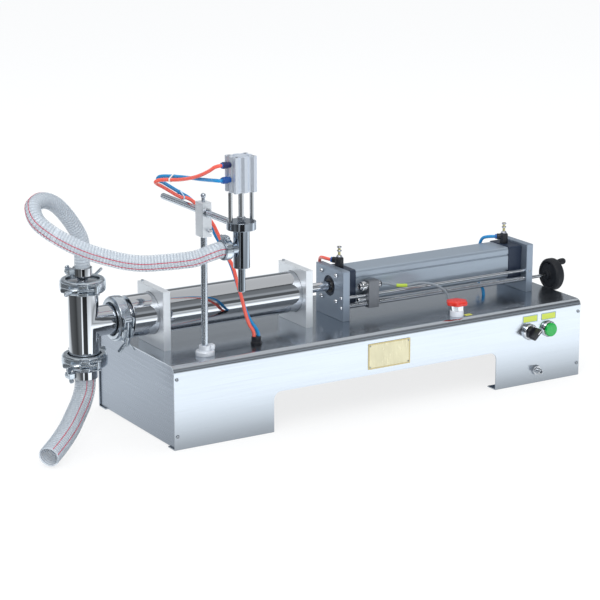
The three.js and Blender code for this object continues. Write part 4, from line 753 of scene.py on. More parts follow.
cap_low, cap_high = extent("start_button")
cap_radius = 0.0125
cap_back = bezel_face - 0.0003
cap_profile = [(0, cap_high[1]), (0.0049, cap_high[1]), (0.0049, cap_back), (cap_radius, cap_back),
               (cap_radius, cap_low[1] + 0.0016), (cap_radius - 0.0014, cap_low[1] + 0.0003),
               (cap_radius * 0.55, cap_low[1]), (0, cap_low[1])]
piece("start_cap", [turned(cap_profile, "y", start_at, 64, 0.0007)], green_cap,
      "start_button",
      ["start_button"])

# Stop button
# A red mushroom head with six finger lobes sits on a chromed collar and a white ring on the deck. It
# is pushed down to stop the machine, and its nut and barrel are under the deck.
stop_red = finish("stop red", (0.66, 0.024, 0.012), 0, 0.24, (300, 300, 300), 0.05, 0.07, coat=0.35)
white_ring = finish("white ring", (0.76, 0.79, 0.84), 0, 0.4, (300, 300, 300))
stop_low, stop_high = extent("estop_base")
stop_at = middle("estop_base")[:2]
ring_top, collar_top = deck_height + 0.010, stop_high[2]
barrel_radius = 0.01075
stop_ring = [(0.0063, deck_height), (0.01225, deck_height), (0.01225, ring_top - 0.001), (0.0113, ring_top),
             (0.0063, ring_top), (0.0063, deck_height)]
piece("stop_ring", [turned(stop_ring, "z", stop_at)], white_ring, "base", ["estop_base"])
flutes = 40
turn = np.arange(flutes * 4) / (flutes * 4) * 2 * math.pi
fluted = np.stack([np.cos(turn), np.sin(turn)],
                  axis=1) * (0.0109 + 0.0003 * np.cos(flutes * turn))[:, None] + stop_at
stem_hole = circle(0.0063, stop_at)
piece("stop_collar", [
    slab(fluted, "z", ring_top - 0.0003, collar_top, 0.0006, [stem_hole]),
    collar_of("z", stop_low[2], deck_height + 0.0003, stop_at, barrel_radius, 0.0063),
    collar_of("z", under_deck - 0.005, under_deck, stop_at, 0.0135, barrel_radius - 0.0003),
], bright_chrome, "base")
head_low = extent("estop_head")[0]
head_bottom = collar_top + 0.001
lobe_count, lobe_swell = 6, 0.0014
rows = np.array([(0.0113, 0.004), (0.0113, 0.0), (0.0150, 0.0), (0.0178, 0.0004), (0.0186, 0.002),
                 (0.0186, 0.0055),
                 (0.0176, 0.0072), (0.0140, 0.0085), (0.0080, 0.0093), (0.0, 0.0096)])
rows = eased(rows, 0.0012, False, 4)
turn = (np.arange(96) / 96 * 2 * math.pi)[None, :]
lobe_share = np.clip((rows[:, :1] - 0.012) / 0.006, 0, 1)
radius = rows[:, :1] + lobe_share * lobe_swell * np.cos(lobe_count * turn)
head_rings = set_along("z", stop_at[0] + radius * np.cos(turn), stop_at[1] + radius * np.sin(turn),
                       head_bottom + rows[:, 1:])
mushroom = (head_rings.reshape(-1, 3), grid_faces(len(rows), 96, False, True) + [list(range(96))])
piece("stop_head", [mushroom, barrel_of("z", head_low[2], head_bottom + 0.0045, stop_at, 0.0058)], stop_red,
      "estop_head", ["estop_head"])

# Air inlet
# A chromed bulkhead stub on the right leg, with barbs for the workshop's air hose. A nut inside the
# sheet holds it.
inlet_low, inlet_high = extent("air_inlet")
inlet_at = middle("air_inlet")[[0, 2]]
inlet_bore, inlet_hex, barb = 0.003, 0.016, 0.005
collar_face, tip_y = -0.005, inlet_low[1]
stub = [(inlet_bore, tip_y), (barb - 0.0012, tip_y)]
for k in range(3):
    base_y = tip_y + 0.0035 * (k + 1)
    stub += [(barb, base_y), (barb - 0.001, base_y)]
stub += [(barb - 0.001, collar_face + 0.0005), (0.006, collar_face + 0.0005), (0.006, inlet_high[1]),
         (inlet_bore, inlet_high[1]), (inlet_bore, tip_y)]
inlet_bore_line = circle(0.0058, inlet_at, 48)
piece("air_stub", [
    turned(stub, "y", inlet_at, 48, 0.0002),
    slab(hexagon(inlet_hex, inlet_at), "y", collar_face, -0.0001, 0.0007, [inlet_bore_line]),
    slab(hexagon(inlet_hex, inlet_at), "y", sheet, sheet + 0.004, 0.0005, [inlet_bore_line]),
], bright_chrome, "base", ["air_inlet"])

# Control valve
# A black anodised valve block with three coils hangs under the deck, out of sight behind the front.
anodised = finish("black anodising", (0.015, 0.019, 0.030), 0.3, 0.34, (300, 300, 300), 0.06, 0.15, 0.05)
valve_low, valve_high = extent("control_valve")
coil_count, coil_cut, coil_depth = 4, 0.012, 0.005
coil_pitch = (valve_high[0] - valve_low[0]) / coil_count
valve_cuts = [brick((valve_low[0] + coil_pitch * k - coil_cut / 2, valve_low[1] - through,
                     valve_low[2] - through),
                    (valve_low[0] + coil_pitch * k + coil_cut / 2, valve_low[1] + coil_depth,
                     valve_high[2] - coil_depth), 0.0005) for k in range(1, coil_count)]
valve_cuts += [barrel_of("z", valve_low[2] - through, valve_low[2] + 0.008,
                         (valve_low[0] + coil_pitch * (k + 0.5),
               valve_high[1] - 0.012), 0.0045, 0, 32) for k in range(coil_count)]
piece("valve_block", [brick(valve_low, valve_high, 0.0008, 0.001)], anodised, "base",
      ["control_valve"], cuts=valve_cuts)

# Split blocks
# Two milled aluminium blocks hold the product cylinder. Each is sawn through at the cylinder's middle,
# and bolts from below pull its upper half down on the tube. A steel pin by the back lines the halves up.
milled = finish("milled aluminium", (0.92, 0.95, 1.0), 0.80, 0.44, (30, 500, 500), 0.07, 0.04, 0.12,
                blotch=14,
                streak=0.4)
dark_bolt = finish("blackened bolt", (0.05, 0.055, 0.065), 0.8, 0.36, (500, 500, 500), 0.08, 0.2, 0.1)
axis_yz = middle("product_cylinder")[1:]
clamp_bore = 0.0363
for side in ("left", "right"):
    low, high = extent(f"block_{side}_lower")
    top = extent(f"block_{side}_upper")[1][2]
    saddle = np.vstack([[(low[1], low[2]), (high[1], low[2]), (high[1], high[2])],
                        arc(axis_yz, clamp_bore, 0, -180, 40), [(low[1], high[2])]])
    bridge = np.vstack([[(high[1], high[2]), (high[1], top), (low[1], top), (low[1], high[2])],
                        arc(axis_yz, clamp_bore, 180, 0, 40)])
    piece(f"{side}_saddle", [slab(saddle, "x", low[0], high[0], 0.0007)], milled, "base",
          [f"block_{side}_lower"])
    piece(f"{side}_bridge", [slab(bridge, "x", low[0], high[0], 0.0007)], milled, "base",
          [f"block_{side}_upper"])
    pin_at = ((low[0] + high[0]) / 2, high[1] - 0.0055)
    piece(f"{side}_bridge_pin", [turned([(0, top - 0.001), (0.0022, top - 0.001), (0.0022, top + 0.0022),
                                         (0, top + 0.0028)],
                                        "z", pin_at, 32, 0.0004)], zinc_screw, "base")

# Product cylinder and its piston
# A polished stainless tube, open at the back, with an end wall and a ferrule for the tee. The white
# piston carries two dark seal rings and is screwed to the air cylinder's rod.
mirror_steel = finish("polished steel", (0.60, 0.62, 0.65), 1, 0.05, (40, 400, 400), 0.02, 0.04, 0.02,
                      blotch=5)
seal_white = finish("white seal plastic", (0.82, 0.82, 0.79), 0, 0.38, (300, 300, 300), 0.06, 0.04)
seal_rubber = finish("seal rubber", (0.02, 0.02, 0.022), 0, 0.5, (500, 500, 500), 0.08, 0.2)
ferrule_radius, ferrule_thick, tee_radius, tee_bore = 0.032, 0.003, 0.0254, 0.0239
tube_start, tube_end, tube_radius, tube_bore, end_wall = -0.016, 0.318, 0.036, 0.033, 0.005
ferrule_x = extent("product_cylinder")[0][0]
tube_profile = [
    (tee_bore, ferrule_x), (ferrule_radius, ferrule_x), (ferrule_radius, ferrule_x + 0.0012),
    (ferrule_radius - 0.004, ferrule_x + ferrule_thick), (tee_radius, ferrule_x + ferrule_thick + 0.0003),
    (tee_radius, tube_start), (tube_radius, tube_start), (tube_radius, tube_end), (tube_bore, tube_end),
    (tube_bore, tube_start + end_wall), (tee_bore, tube_start + end_wall), (tee_bore, ferrule_x),
]
piece("product_tube", [turned(tube_profile, "x", axis_yz, 128, 0.0008)], mirror_steel,
      "base",
      ["product_cylinder"])
low, high = extent("product_piston")
piston_radius, groove_floor = 0.0326, 0.0296
spigot_radius = 0.0063
grooves = [low[0] + 0.007, low[0] + 0.012, high[0] - 0.012, high[0] - 0.007]
piston_profile = [
    (spigot_radius, low[0]), (piston_radius, low[0]), (piston_radius, grooves[0]), (groove_floor, grooves[0]),
    (groove_floor, grooves[1]), (piston_radius, grooves[1]), (piston_radius, grooves[2]),
    (groove_floor, grooves[2]), (groove_floor, grooves[3]), (piston_radius, grooves[3]),
    (piston_radius, high[0]),
    (spigot_radius, high[0]), (spigot_radius, low[0]),
]
piece("white_piston", [turned(piston_profile, "x", axis_yz, 96, 0.0006)], seal_white, "pistons",
      ["product_piston"])
seal_rings = [collar_of("x", start + 0.0005, start + 0.0045, axis_yz, piston_radius + 0.0001,
                        groove_floor + 0.0001,
                        0.0012, 96) for start in (grooves[0], grooves[2])]
piece("piston_seals", seal_rings, seal_rubber, "pistons")

# Piston rod
# One hard-chromed rod joins the two pistons. The air piston is clamped on it inside the barrel.
low, high = extent("piston_rod")
rod_radius, rod_spigot = 0.0085, 0.006
piston_low, piston_high = extent("product_piston")
air_piston = (0.432, 0.460)
rod_profile = [
    (0, low[0]), (rod_radius, low[0]), (rod_radius, piston_low[0] - 0.0003),
    (rod_spigot, piston_low[0] - 0.0003),
    (rod_spigot, piston_high[0] + 0.0003), (rod_radius, piston_high[0] + 0.0003), (rod_radius, air_piston[0]),
    (0.0246, air_piston[0]), (0.0246, air_piston[0] + 0.006), (0.0215, air_piston[0] + 0.006),
    (0.0215, air_piston[0] + 0.010), (0.0246, air_piston[0] + 0.010), (0.0246, air_piston[1]),
    (rod_radius, air_piston[1]), (rod_radius, high[0]), (0, high[0]),
]
hard_chrome = finish("hard chrome", (0.74, 0.76, 0.79), 1, 0.06, (60, 500, 500), 0.02, 0.03)
piece("chromed_rod", [turned(rod_profile, "x", axis_yz, 64, 0.0006)], hard_chrome,
      "pistons",
      ["piston_rod"])

# Mounting plates
# Two ground aluminium plates stand on the deck and carry the air cylinder and the adjuster. Four
# bright screws tie the front cap to its plate, and small ones hold the ends of the adjuster's rods.
plate_aluminium = finish("ground plate aluminium", (0.34, 0.40, 0.48), 0.75, 0.42, (400, 60, 400), 0.07, 0.05,
                         0.10,
                         blotch=12, streak=0.3)
adjuster_yz = middle("guide_rod")[1:]
screw_yz = middle("adjusting_screw")[1:]
tie_reach = (0.024, 0.0233)
for name, node, bores in (("front_plate", "front_mount_plate", [(axis_yz, 0.0183)]),
                          ("rear_plate", "rear_mount_plate", [(screw_yz, 0.0033)])):
    low, high = extent(node)
    holes = [circle(radius, at, 64) for at, radius in bores]
    piece(name, [slab(rounded_box(low[1:], high[1:], 0.0008, 3), "x", low[0], high[0], 0.0007, holes)],
          plate_aluminium, "base", [node])
front_low, front_high = extent("front_mount_plate")
rear_low, rear_high = extent("rear_mount_plate")
tie_screws = [button_screw("x", front_low[0], axis_yz + np.array((y, z)) * tie_reach, 0.0042, -1)
              for y in (-1, 1) for z in (-1, 1)]
rod_screws = [button_screw("x", front_low[0], (yz[0] - 0.001, yz[1] + rise), 0.0030, -1)
              for yz, rise in ((adjuster_yz, 0.001), (screw_yz, -0.001))]
edge_screw = button_screw("y", rear_low[1], ((rear_low[0] + rear_high[0]) / 2, 0.1835), 0.0022, -1)
piece("plate_screws", [*tie_screws, *rod_screws, edge_screw], bright_chrome, "base")

# Air cylinder
# A drawn aluminium barrel with slots for the switches is clamped between two black anodised caps. The
# front cap has a nose that sits in the plate, round the rod.
drawn_aluminium = finish("anodised barrel", (0.38, 0.44, 0.51), 0.6, 0.40, (8, 600, 600), 0.05, 0.04, 0.06,
                         blotch=6, streak=0.5)
cap_navy = finish("navy anodised cap", (0.020, 0.032, 0.060), 0.1, 0.48, (300, 300, 300), 0.06, 0.12, 0.05)
cap_half, barrel_half = 0.0305, 0.029
slot_offset, slot_mouth, slot_depth = 0.015, 0.0023, 0.004
low, high = extent("barrel")
slot_cuts = []
slot_lip, slot_half = 0.0012, 0.0029
for out in (-1, 1):
    face, slot_z = axis_yz[0] + out * barrel_half, axis_yz[1] - slot_offset
    half_slot = np.array([(-through, slot_mouth), (slot_lip, slot_mouth), (slot_lip, slot_half),
                          (slot_depth, slot_half)])
    spots = np.vstack([half_slot, half_slot[::-1] * (1, -1)]) * (-out, 1) + (face, slot_z)
    slot_cuts.append(slab(spots, "x", low[0] - through, high[0] + through, 0))
    bead = circle(0.0016, (face, axis_yz[1] + slot_offset), 24)
    slot_cuts.append(slab(bead, "x", low[0] - through, high[0] + through, 0))
barrel_outline = rounded_box(axis_yz - barrel_half, axis_yz + barrel_half, 0.005, 8)
piece("air_barrel", [slab(barrel_outline, "x", low[0], high[0], 0.0002, [circle(0.025, axis_yz, 96)])],
      drawn_aluminium, "base", ["barrel"], cuts=slot_cuts)
cap_outline = rounded_box(axis_yz - cap_half, axis_yz + cap_half, 0.004, 6)
port_at = {"front": 0.4055, "rear": 0.765}
rod_hole = 0.0088
for side in ("front", "rear"):
    low, high = extent(f"{side}_cap")
    flat_start = low[0] if side == "rear" else front_high[0]
    shells = [slab(cap_outline, "x", flat_start, high[0], 0.0009)]
    cuts = [barrel_of("x", low[0] - through, high[0] + through if side == "front" else 0.770, axis_yz,
                      rod_hole, 0),
            barrel_of("z", axis_yz[1], axis_yz[1] + cap_half + through, (port_at[side], axis_yz[0]), 0.0025,
                      0, 32)]
    joins = [barrel_of("x", low[0], flat_start + 0.001, axis_yz, 0.018, 0.0008)] if side == "front" else []
    piece(f"{side}_end_cap", shells, cap_navy, "base", [f"{side}_cap"], joins=joins,
          cuts=cuts)
wiper = collar_of("x", front_low[0] + 0.0005, front_low[0] + 0.0045, axis_yz, 0.0125, 0.0087, 0.0008)
piece("rod_wiper", [wiper], seal_rubber, "base")

# Flow controls
# A black elbow screwed into each cap takes the air tube in its arm, where a push-in collar grips it.
# The nickelled brass needle screw in its top, with its two round grips, sets the piston's speed.
brass = finish("turned brass", (0.62, 0.56, 0.30), 1, 0.22, (500, 500, 500), 0.06, 0.06, 0.04)
nickel = finish("nickelled brass", (0.66, 0.67, 0.74), 1, 0.16, (500, 500, 500), 0.06, 0.06, 0.04)
collar_blue = finish("blue collar", (0.02, 0.13, 0.42), 0, 0.3, (300, 300, 300))
foot_z = axis_yz[1] + cap_half
elbow_top, elbow_z = foot_z + 0.019, foot_z + 0.0125


def along_turned(profile, place, angle, sides=48, ease=0.0003):
    """A turned shell whose axis lies level at one angle to X."""
    vertices, faces = turned(profile, "x", (0, 0), sides, ease)
    c, s = math.cos(angle), math.sin(angle)
    x, y, z = vertices.T
    return np.stack([c * x - s * y, s * x + c * y, z], axis=1) + place, faces


for side, angle in (("front", 2 * math.pi / 3), ("rear", 5 * math.pi / 6)):
    at = np.array((port_at[side], axis_yz[0]))
    elbow = turned([(0, foot_z + 0.0001), (0.0078, foot_z + 0.0001), (0.0078, elbow_top - 0.002),
                    (0.0066, elbow_top - 0.001), (0, elbow_top - 0.001)], "z", at, 48, 0.001)
    crown = barrel_of("z", elbow_top - 0.0015, elbow_top, at, 0.0062, 0.0005)
    elbow_arm = along_turned([(0, 0), (0.0055, 0), (0.0055, 0.0125), (0.0048, 0.0132), (0, 0.0132)],
                             (*at, elbow_z), angle)
    needle_bore = barrel_of("z", elbow_top - 0.006, elbow_top + through, at, 0.0028, 0, 32)
    shank = barrel_of("z", foot_z - 0.005, foot_z + 0.0005, at, 0.0022, 0.0002, 32)
    piece(f"elbow_{side}", [elbow], black_moulding, "base", [f"flow_control_{side}"],
          joins=[elbow_arm, crown, shank], cuts=[needle_bore])
    push_ring = along_turned([(0.0031, 0.0128), (0.0044, 0.0128), (0.0044, 0.0147), (0.0050, 0.0150),
                              (0.0050, 0.0158), (0.0031, 0.0158), (0.0031, 0.0128)],
                             (*at, elbow_z), angle)
    piece(f"push_ring_{side}", [push_ring], collar_blue, "base")
    low, high = extent(f"flow_screw_{side}")
    cone = turned([(0.0026, elbow_top + 0.0003), (0.0056, elbow_top + 0.0003), (0.0056, elbow_top + 0.0014),
                   (0.0034, elbow_top + 0.0040), (0.0026, elbow_top + 0.0040), (0.0026, elbow_top + 0.0003)],
                  "z", at, 40, 0.0004)
    grips = [turned([(0.0020, face), (0.0041, face + 0.0003), (0.0045, face + 0.0010),
                     (0.0045, face + 0.0022),
                     (0.0041, face + 0.0028), (0.0020, face + 0.0031), (0.0020, face)], "z", at, 40, 0.0003)
             for face in (high[2] - 0.0034, high[2] - 0.0100)]
    stem_top = high[2] - 0.0002
    needle_profile = [(0, low[2]), (0.0025, low[2]), (0.0025, stem_top), (0, stem_top)]
    slot = brick((at[0] - 0.0045, at[1] - 0.0005, high[2] - 0.0012),
                 (at[0] + 0.0045, at[1] + 0.0005, high[2] + 0.002),
                 0.0001, 0.0001)
    piece(f"needle_{side}", [turned(needle_profile, "z", at, 40, 0.0002)], brass,
          f"flow_screw_{side}",
          [f"flow_screw_{side}"], cuts=[slot])
    piece(f"needle_grips_{side}", [cone, *grips], nickel, f"flow_screw_{side}")

# Stroke adjuster
# A plain guide rod and a steep-thread screw run between the plates. Turning the handwheel's screw
# carries the aluminium slider and its sensor along, and so sets how far the pistons go back.
def threaded(direction, start, end, centre, radius, depth, lead, starts=1, sides=36, rows_per_turn=16):
    """A threaded bar: its radius at angle a and place x is radius - depth (1 + cos(starts a - 2 pi
    starts x / lead)) / 2, fading out at its two ends."""
    rows = int((end - start) / lead * starts * rows_per_turn) + 1
    x = np.linspace(start, end, rows)[:, None]
    a = (np.arange(sides) / sides * 2 * math.pi)[None, :]
    fade = np.clip(np.minimum(x - start, end - x) / (lead / starts), 0, 1)
    wave = 0.5 * (1 + np.cos(starts * a - 2 * math.pi * starts * (x - start) / lead))
    r = radius - depth * np.clip(1.6 * wave - 0.3, 0, 1) * fade
    rings = set_along(direction, centre[0] + r * np.cos(a), centre[1] + r * np.sin(a), x)
    return rod(rings)


low, high = extent("guide_rod")
piece("slide_rod", [barrel_of("x", low[0], high[0], adjuster_yz, 0.003, 0.0003, 40)], hard_chrome,
      "base", ["guide_rod"])
low, high = extent("adjusting_screw")
screw_span = (front_high[0] + 0.0003, rear_low[0] - 0.0003)
steel_thread = finish("rolled thread", (0.50, 0.52, 0.55), 1, 0.2, (300, 300, 300), 0.05, 0.06)
journals = [barrel_of("x", low[0], screw_span[0] + 0.0005, screw_yz, 0.003, 0.0003, 40),
            barrel_of("x", screw_span[1] - 0.0005, high[0], screw_yz, 0.003, 0.0003, 40)]
piece("steep_screw", [threaded("x", *screw_span, screw_yz, 0.00425, 0.0008, 0.008, 4, 32, 10), *journals],
      steel_thread,
      "volume_screw", ["adjusting_screw"])
slider_grey = finish("grey satin slider", (0.21, 0.22, 0.24), 0.7, 0.40, (400, 60, 400), 0.07, 0.06, 0.10,
                     blotch=30)
slider_low, slider_high = np.array((0.437, 0.0895, 0.1625)), np.array((0.4585, 0.1065, 0.2115))
sensor_yz, pin_yz = (0.0975, 0.202), (0.0985, 0.1778)
slider_cuts = [barrel_of("x", slider_low[0] - through, slider_high[0] + through, adjuster_yz, 0.0033, 0, 32),
               barrel_of("x", slider_low[0] - through, slider_high[0] + through, screw_yz, 0.00455, 0, 32)]
piece("slider", [slab(rounded_box(slider_low[1:], slider_high[1:], 0.001, 3), "x", slider_low[0],
                      slider_high[0],
                      0.0008)], slider_grey, "carriage", ["carriage"], cuts=slider_cuts)
sensor_steel = finish("sensor barrel", (0.66, 0.67, 0.69), 1, 0.16, (400, 400, 400), 0.05, 0.06)
sensor_face = finish("sensor face", (0.02, 0.025, 0.035), 0, 0.4, (300, 300, 300))
nose_x, tail_x, nut_face = slider_low[0] - 0.017, slider_high[0] + 0.008, slider_low[0] - 0.0125
piece("sensor_barrel", [
    collar_of("x", nose_x + 0.0008, nose_x + 0.0040, sensor_yz, 0.0062, 0.0040, 0.0010, 40),
    threaded("x", nose_x + 0.0035, slider_low[0] + 0.0003, sensor_yz, 0.006, 0.0005, 0.001, 1, 32, 6),
    turned([(0.0057, nut_face), (0.0078, nut_face), (0.0090, nut_face + 0.0014), (0.0090, nut_face + 0.0075),
            (0.0080, nut_face + 0.0088), (0.0057, nut_face + 0.0088), (0.0057, nut_face)], "x", sensor_yz, 48,
            0.0010),
    threaded("x", slider_high[0] - 0.0003, tail_x - 0.003, sensor_yz, 0.006, 0.0005, 0.001, 1, 32, 6),
], sensor_steel, "carriage")
piece("sensor_ends", [barrel_of("x", nose_x + 0.0018, nose_x + 0.0044, sensor_yz, 0.0042, 0.0004, 40),
                      barrel_of("x", tail_x - 0.0034, tail_x, sensor_yz, 0.0052, 0.0008, 40)],
      sensor_face, "carriage")
pin_tip = slider_low[0] - 0.018
piece("lock_pin", [turned([(0.0033, slider_low[0]), (0.0037, slider_low[0]), (0.0037, pin_tip + 0.001),
                           (0.0031, pin_tip), (0.0029, pin_tip), (0.0029, slider_low[0]),
                           (0.0033, slider_low[0])],
                          "x", pin_yz, 40, 0.0003)], bright_chrome, "carriage")

# Handwheel and crank
# A black moulded wheel with a thick round rim and a thin web is pinned to the screw's end. The grip
# turns on its own stub on the web.
low, high = extent("handwheel")
hub_start, wheel_start, wheel_end = low[0], 0.838, 0.8568
hub_radius, rim_radius, rim_thick = 0.0085, 0.030, 0.008
web_start, web_end = 0.8392, 0.8552
rim_inner = rim_radius - rim_thick
wheel_black = finish("wheel plastic", (0.007, 0.009, 0.014), 0, 0.62, (250, 250, 250), 0.05, 0.2, 0.05)
rim_round = [(rim_inner, web_start + 0.001), (rim_inner, wheel_start + 0.0035),
             (rim_inner + 0.0026, wheel_start),
             (rim_radius - 0.0034, wheel_start), (rim_radius, wheel_start + 0.0040),
             (rim_radius, wheel_end - 0.0040),
             (rim_radius - 0.0034, wheel_end), (rim_inner + 0.0026, wheel_end),
             (rim_inner, wheel_end - 0.0035),
             (rim_inner, web_end - 0.001)]
wheel_profile = ([(0.0033, hub_start), (hub_radius - 0.001, hub_start), (hub_radius, hub_start + 0.001),
                  (hub_radius, web_start)] + [(rim_inner - 0.001, web_start + 0.001)] + rim_round
                 + [(rim_inner - 0.001, web_end - 0.001), (hub_radius + 0.001, web_end),
                    (hub_radius, wheel_end),
                    (0.0033, wheel_end), (0.0033, hub_start)])
crank_yz = middle("crank_handle")[1:]
stub_bore = barrel_of("x", web_start - through, wheel_end + through, crank_yz, 0.0028, 0, 32)
piece("wheel", [turned(wheel_profile, "x", screw_yz, 96, 0.0016)], wheel_black,
      "volume_screw",
      ["handwheel"], cuts=[stub_bore])
low, high = extent("crank_handle")
grip_start = wheel_end + 0.0003
grip_profile = [(0, low[0]), (0.0025, low[0]), (0.0025, grip_start), (0.0042, grip_start),
                (0.0042, grip_start + 0.003),
                (0.0055, grip_start + 0.008), (0.0060, grip_start + 0.013), (0.0058, grip_start + 0.017),
                (0.0044, high[0] - 0.001), (0.0020, high[0]), (0, high[0])]
piece("crank_grip", [turned(grip_profile, "x", crank_yz, 48, 0.002)], wheel_black, "crank",
      ["crank_handle"])

# Tee
# A polished stainless tee of two-inch tube with a ferrule on each of its three ends. Inside are the
# outlet valve's seat and the pins that stop the two balls.
tee_low, tee_high = extent("tee_body")
tee_xy = np.array((-0.094, axis_yz[0]))
branch_x = tee_high[0]


def ferrule_edge(face, into):
    """The rim of a clamp ferrule: flat on its face and coned behind, with into its way from the face."""
    return [(ferrule_radius, face), (ferrule_radius, face + into * 0.0012),
            (ferrule_radius - 0.004, face + into * ferrule_thick),
            (tee_radius, face + into * (ferrule_thick + 0.0006))]


run_profile = [(0, tee_low[2]), *ferrule_edge(tee_low[2], 1), *ferrule_edge(tee_high[2], -1)[::-1],
               (0, tee_high[2])]
run_outer = turned(run_profile, "z", tee_xy, 96, 0.0006)
branch_outer = turned([(0, tee_xy[0]), (tee_radius, tee_xy[0]), *ferrule_edge(branch_x, -1)[::-1],
                       (0, branch_x)],
                      "x", axis_yz, 96, 0.0006)
run_bore = barrel_of("z", tee_low[2] - through, tee_high[2] + through, tee_xy, tee_bore, 0, 96)
branch_bore = barrel_of("x", tee_xy[0], branch_x + through, axis_yz, tee_bore, 0, 96)
piece("tee", [run_outer], mirror_steel, "base", ["tee_body"], joins=[branch_outer],
      cuts=[run_bore, branch_bore])
seat_z = 0.226
seat = collar_of("z", seat_z, seat_z + 0.004, tee_xy, tee_bore + 0.0004, 0.011, 0.0008, 96)
pin_heights = [middle(f"{side}_ball")[2] + 0.014 + 0.004 + 0.0018 for side in ("inlet", "outlet")]
pins = [barrel_of("y", tee_xy[1] - tee_bore - 0.0004, tee_xy[1] + tee_bore + 0.0004, (tee_xy[0], z), 0.0015,
                  0.0003, 24)
        for z in pin_heights]
piece("valve_seat", [seat, *pins], mirror_steel, "base")
for side in ("inlet", "outlet"):
    centre = middle(f"{side}_ball")
    t = np.linspace(0, math.pi, 33)[1:-1]
    ball_profile = [(0, centre[2] - 0.014),
                    *((0.014 * math.sin(a), centre[2] - 0.014 * math.cos(a)) for a in t),
                    (0, centre[2] + 0.014)]
    piece(f"{side}_valve_ball", [turned(ball_profile, "z", centre[:2], 64, 0)], mirror_steel,
          f"{side}_ball", [f"{side}_ball"])

# Tee clamps
# Each joint of two ferrules is held by a band of cast stainless in two halves. A swing bolt on a pin
# in one half's fork lies in the other half's fork, and its wing nut draws the two together.
cast_steel = finish("cast stainless", (0.62, 0.68, 0.74), 1, 0.24, (350, 350, 350), 0.03, 0.05, 0.02,
                    blotch=60)
band_radius, band_half, band_lip = 0.038, 0.011, 0.003
band_neck, pocket_radius = 0.0287, 0.0323
ear_start, ear_end, ear_reach, ear_half, fork_gap = 0.032, 0.047, 0.018, 0.0088, 0.0036
bolt_radius, nut_hub = 0.003, 0.006
clamp_nut = 0.013, math.pi / 3.6, [(0.003, 0.0026), (0.010, 0.0030), (0.018, 0.0044), (0.0245, 0.0042),
                                   (0.0260, 0)]
screw_nut = 0.011, math.pi / 9, [(0.003, 0.0024), (0.007, 0.0030), (0.0105, 0.0042), (0.0138, 0.0038),
                                 (0.0150, 0)]


def wing_nut(kind, across, y, lean):
    """A wing nut on a bolt along Y: a coned hub, the end of its bolt, and two rounded wings opposite
    each other, square to the lean and flared away from the hub's foot."""
    nut_length, nut_flare, lobe_side = kind
    half_lobe = np.array(lobe_side)
    hub = [(0, y), (nut_hub, y), (nut_hub, y - 0.003), (nut_hub - 0.0018, y - nut_length),
           (0, y - nut_length)]
    shells = [turned(hub, "y", across, 32, 0.0006),
              barrel_of("y", y - nut_length - 0.003, y - nut_length + 0.0005, across, bolt_radius, 0.0005,
                        24)]
    lobe = eased(np.vstack([half_lobe * (1, -1), half_lobe[-2::-1]]), 0.004, True, 4)
    for side in (-1, 1):
        vertices, faces = slab(lobe, "y", -0.0036, -0.0004, 0.0012)
        u, w, v = vertices.T
        c, s = math.cos(nut_flare), math.sin(nut_flare)
        u, w = u * c + w * s, w * c - u * s
        turn = lean + side * math.pi / 2
        x, z = u * math.cos(turn) - v * math.sin(turn), u * math.sin(turn) + v * math.cos(turn)
        shells.append((np.stack([x + across[0], w + y - nut_length / 3, z + across[1]], axis=1), faces))
    return shells


def about_z(vertices, turn):
    """Points turned about Z."""
    c, s = math.cos(turn), math.sin(turn)
    return vertices @ np.array([[c, s, 0], [-s, c, 0], [0, 0, 1]])


def clamp_shells(ears):
    """A clamp's shells round Z: the band, and at each angle a pair of forks, the swing bolt and its nut."""
    shells = [turned([
        (band_neck, -band_half), (band_radius - band_lip, -band_half), (band_radius, -band_half + 0.003),
        (band_radius + 0.0006, 0), (band_radius, band_half - 0.003), (band_radius - band_lip, band_half),
        (band_neck, band_half), (band_neck, 0.0039), (pocket_radius, 0.0036), (pocket_radius, -0.0036),
        (band_neck, -0.0039), (band_neck, -band_half),
    ], "z", (0, 0), 96, 0.0012)]
    bolt_x = (ear_start + ear_end) / 2 + 0.002
    for turn, lean in ears:
        made = [brick((ear_start, -ear_reach, -ear_half), (band_radius + 0.0015, -0.0012, ear_half), 0.0008,
                      0.0012),
                brick((ear_start, 0.0012, -ear_half), (band_radius + 0.0015, ear_reach, ear_half), 0.0008,
                      0.0012)]
        for low_y, high_y, wall in ((-ear_reach, -0.0012, ear_half - fork_gap), (0.0012, ear_reach, 0.0020)):
            fork = rounded_box((ear_start, low_y), (ear_end, high_y), 0.0022, 4)
            made += [slab(fork, "z", start, start + wall, 0.0006) for start in (-ear_half, ear_half - wall)]
        pin_y = ear_reach - 0.0055
        made.append(barrel_of("z", -ear_half - 0.0008, ear_half + 0.0008, (bolt_x, pin_y), 0.0022, 0.0004,
                              24))
        made.append(barrel_of("z", -ear_half + 0.0024, ear_half - 0.0024, (bolt_x, pin_y), 0.0042, 0.0008,
                              32))
        made.append(barrel_of("y", -ear_reach - 0.002, pin_y, (bolt_x, 0), bolt_radius, 0.0003, 24))
        made.append(collar_of("y", -ear_reach - 0.0003, -ear_reach + 0.0012, (bolt_x, 0), 0.0058,
                              bolt_radius - 0.0002))
        made += wing_nut(clamp_nut, (bolt_x, 0), -ear_reach + 0.0002, lean)
        shells += [(about_z(vertices, turn), faces) for vertices, faces in made]
    return shells


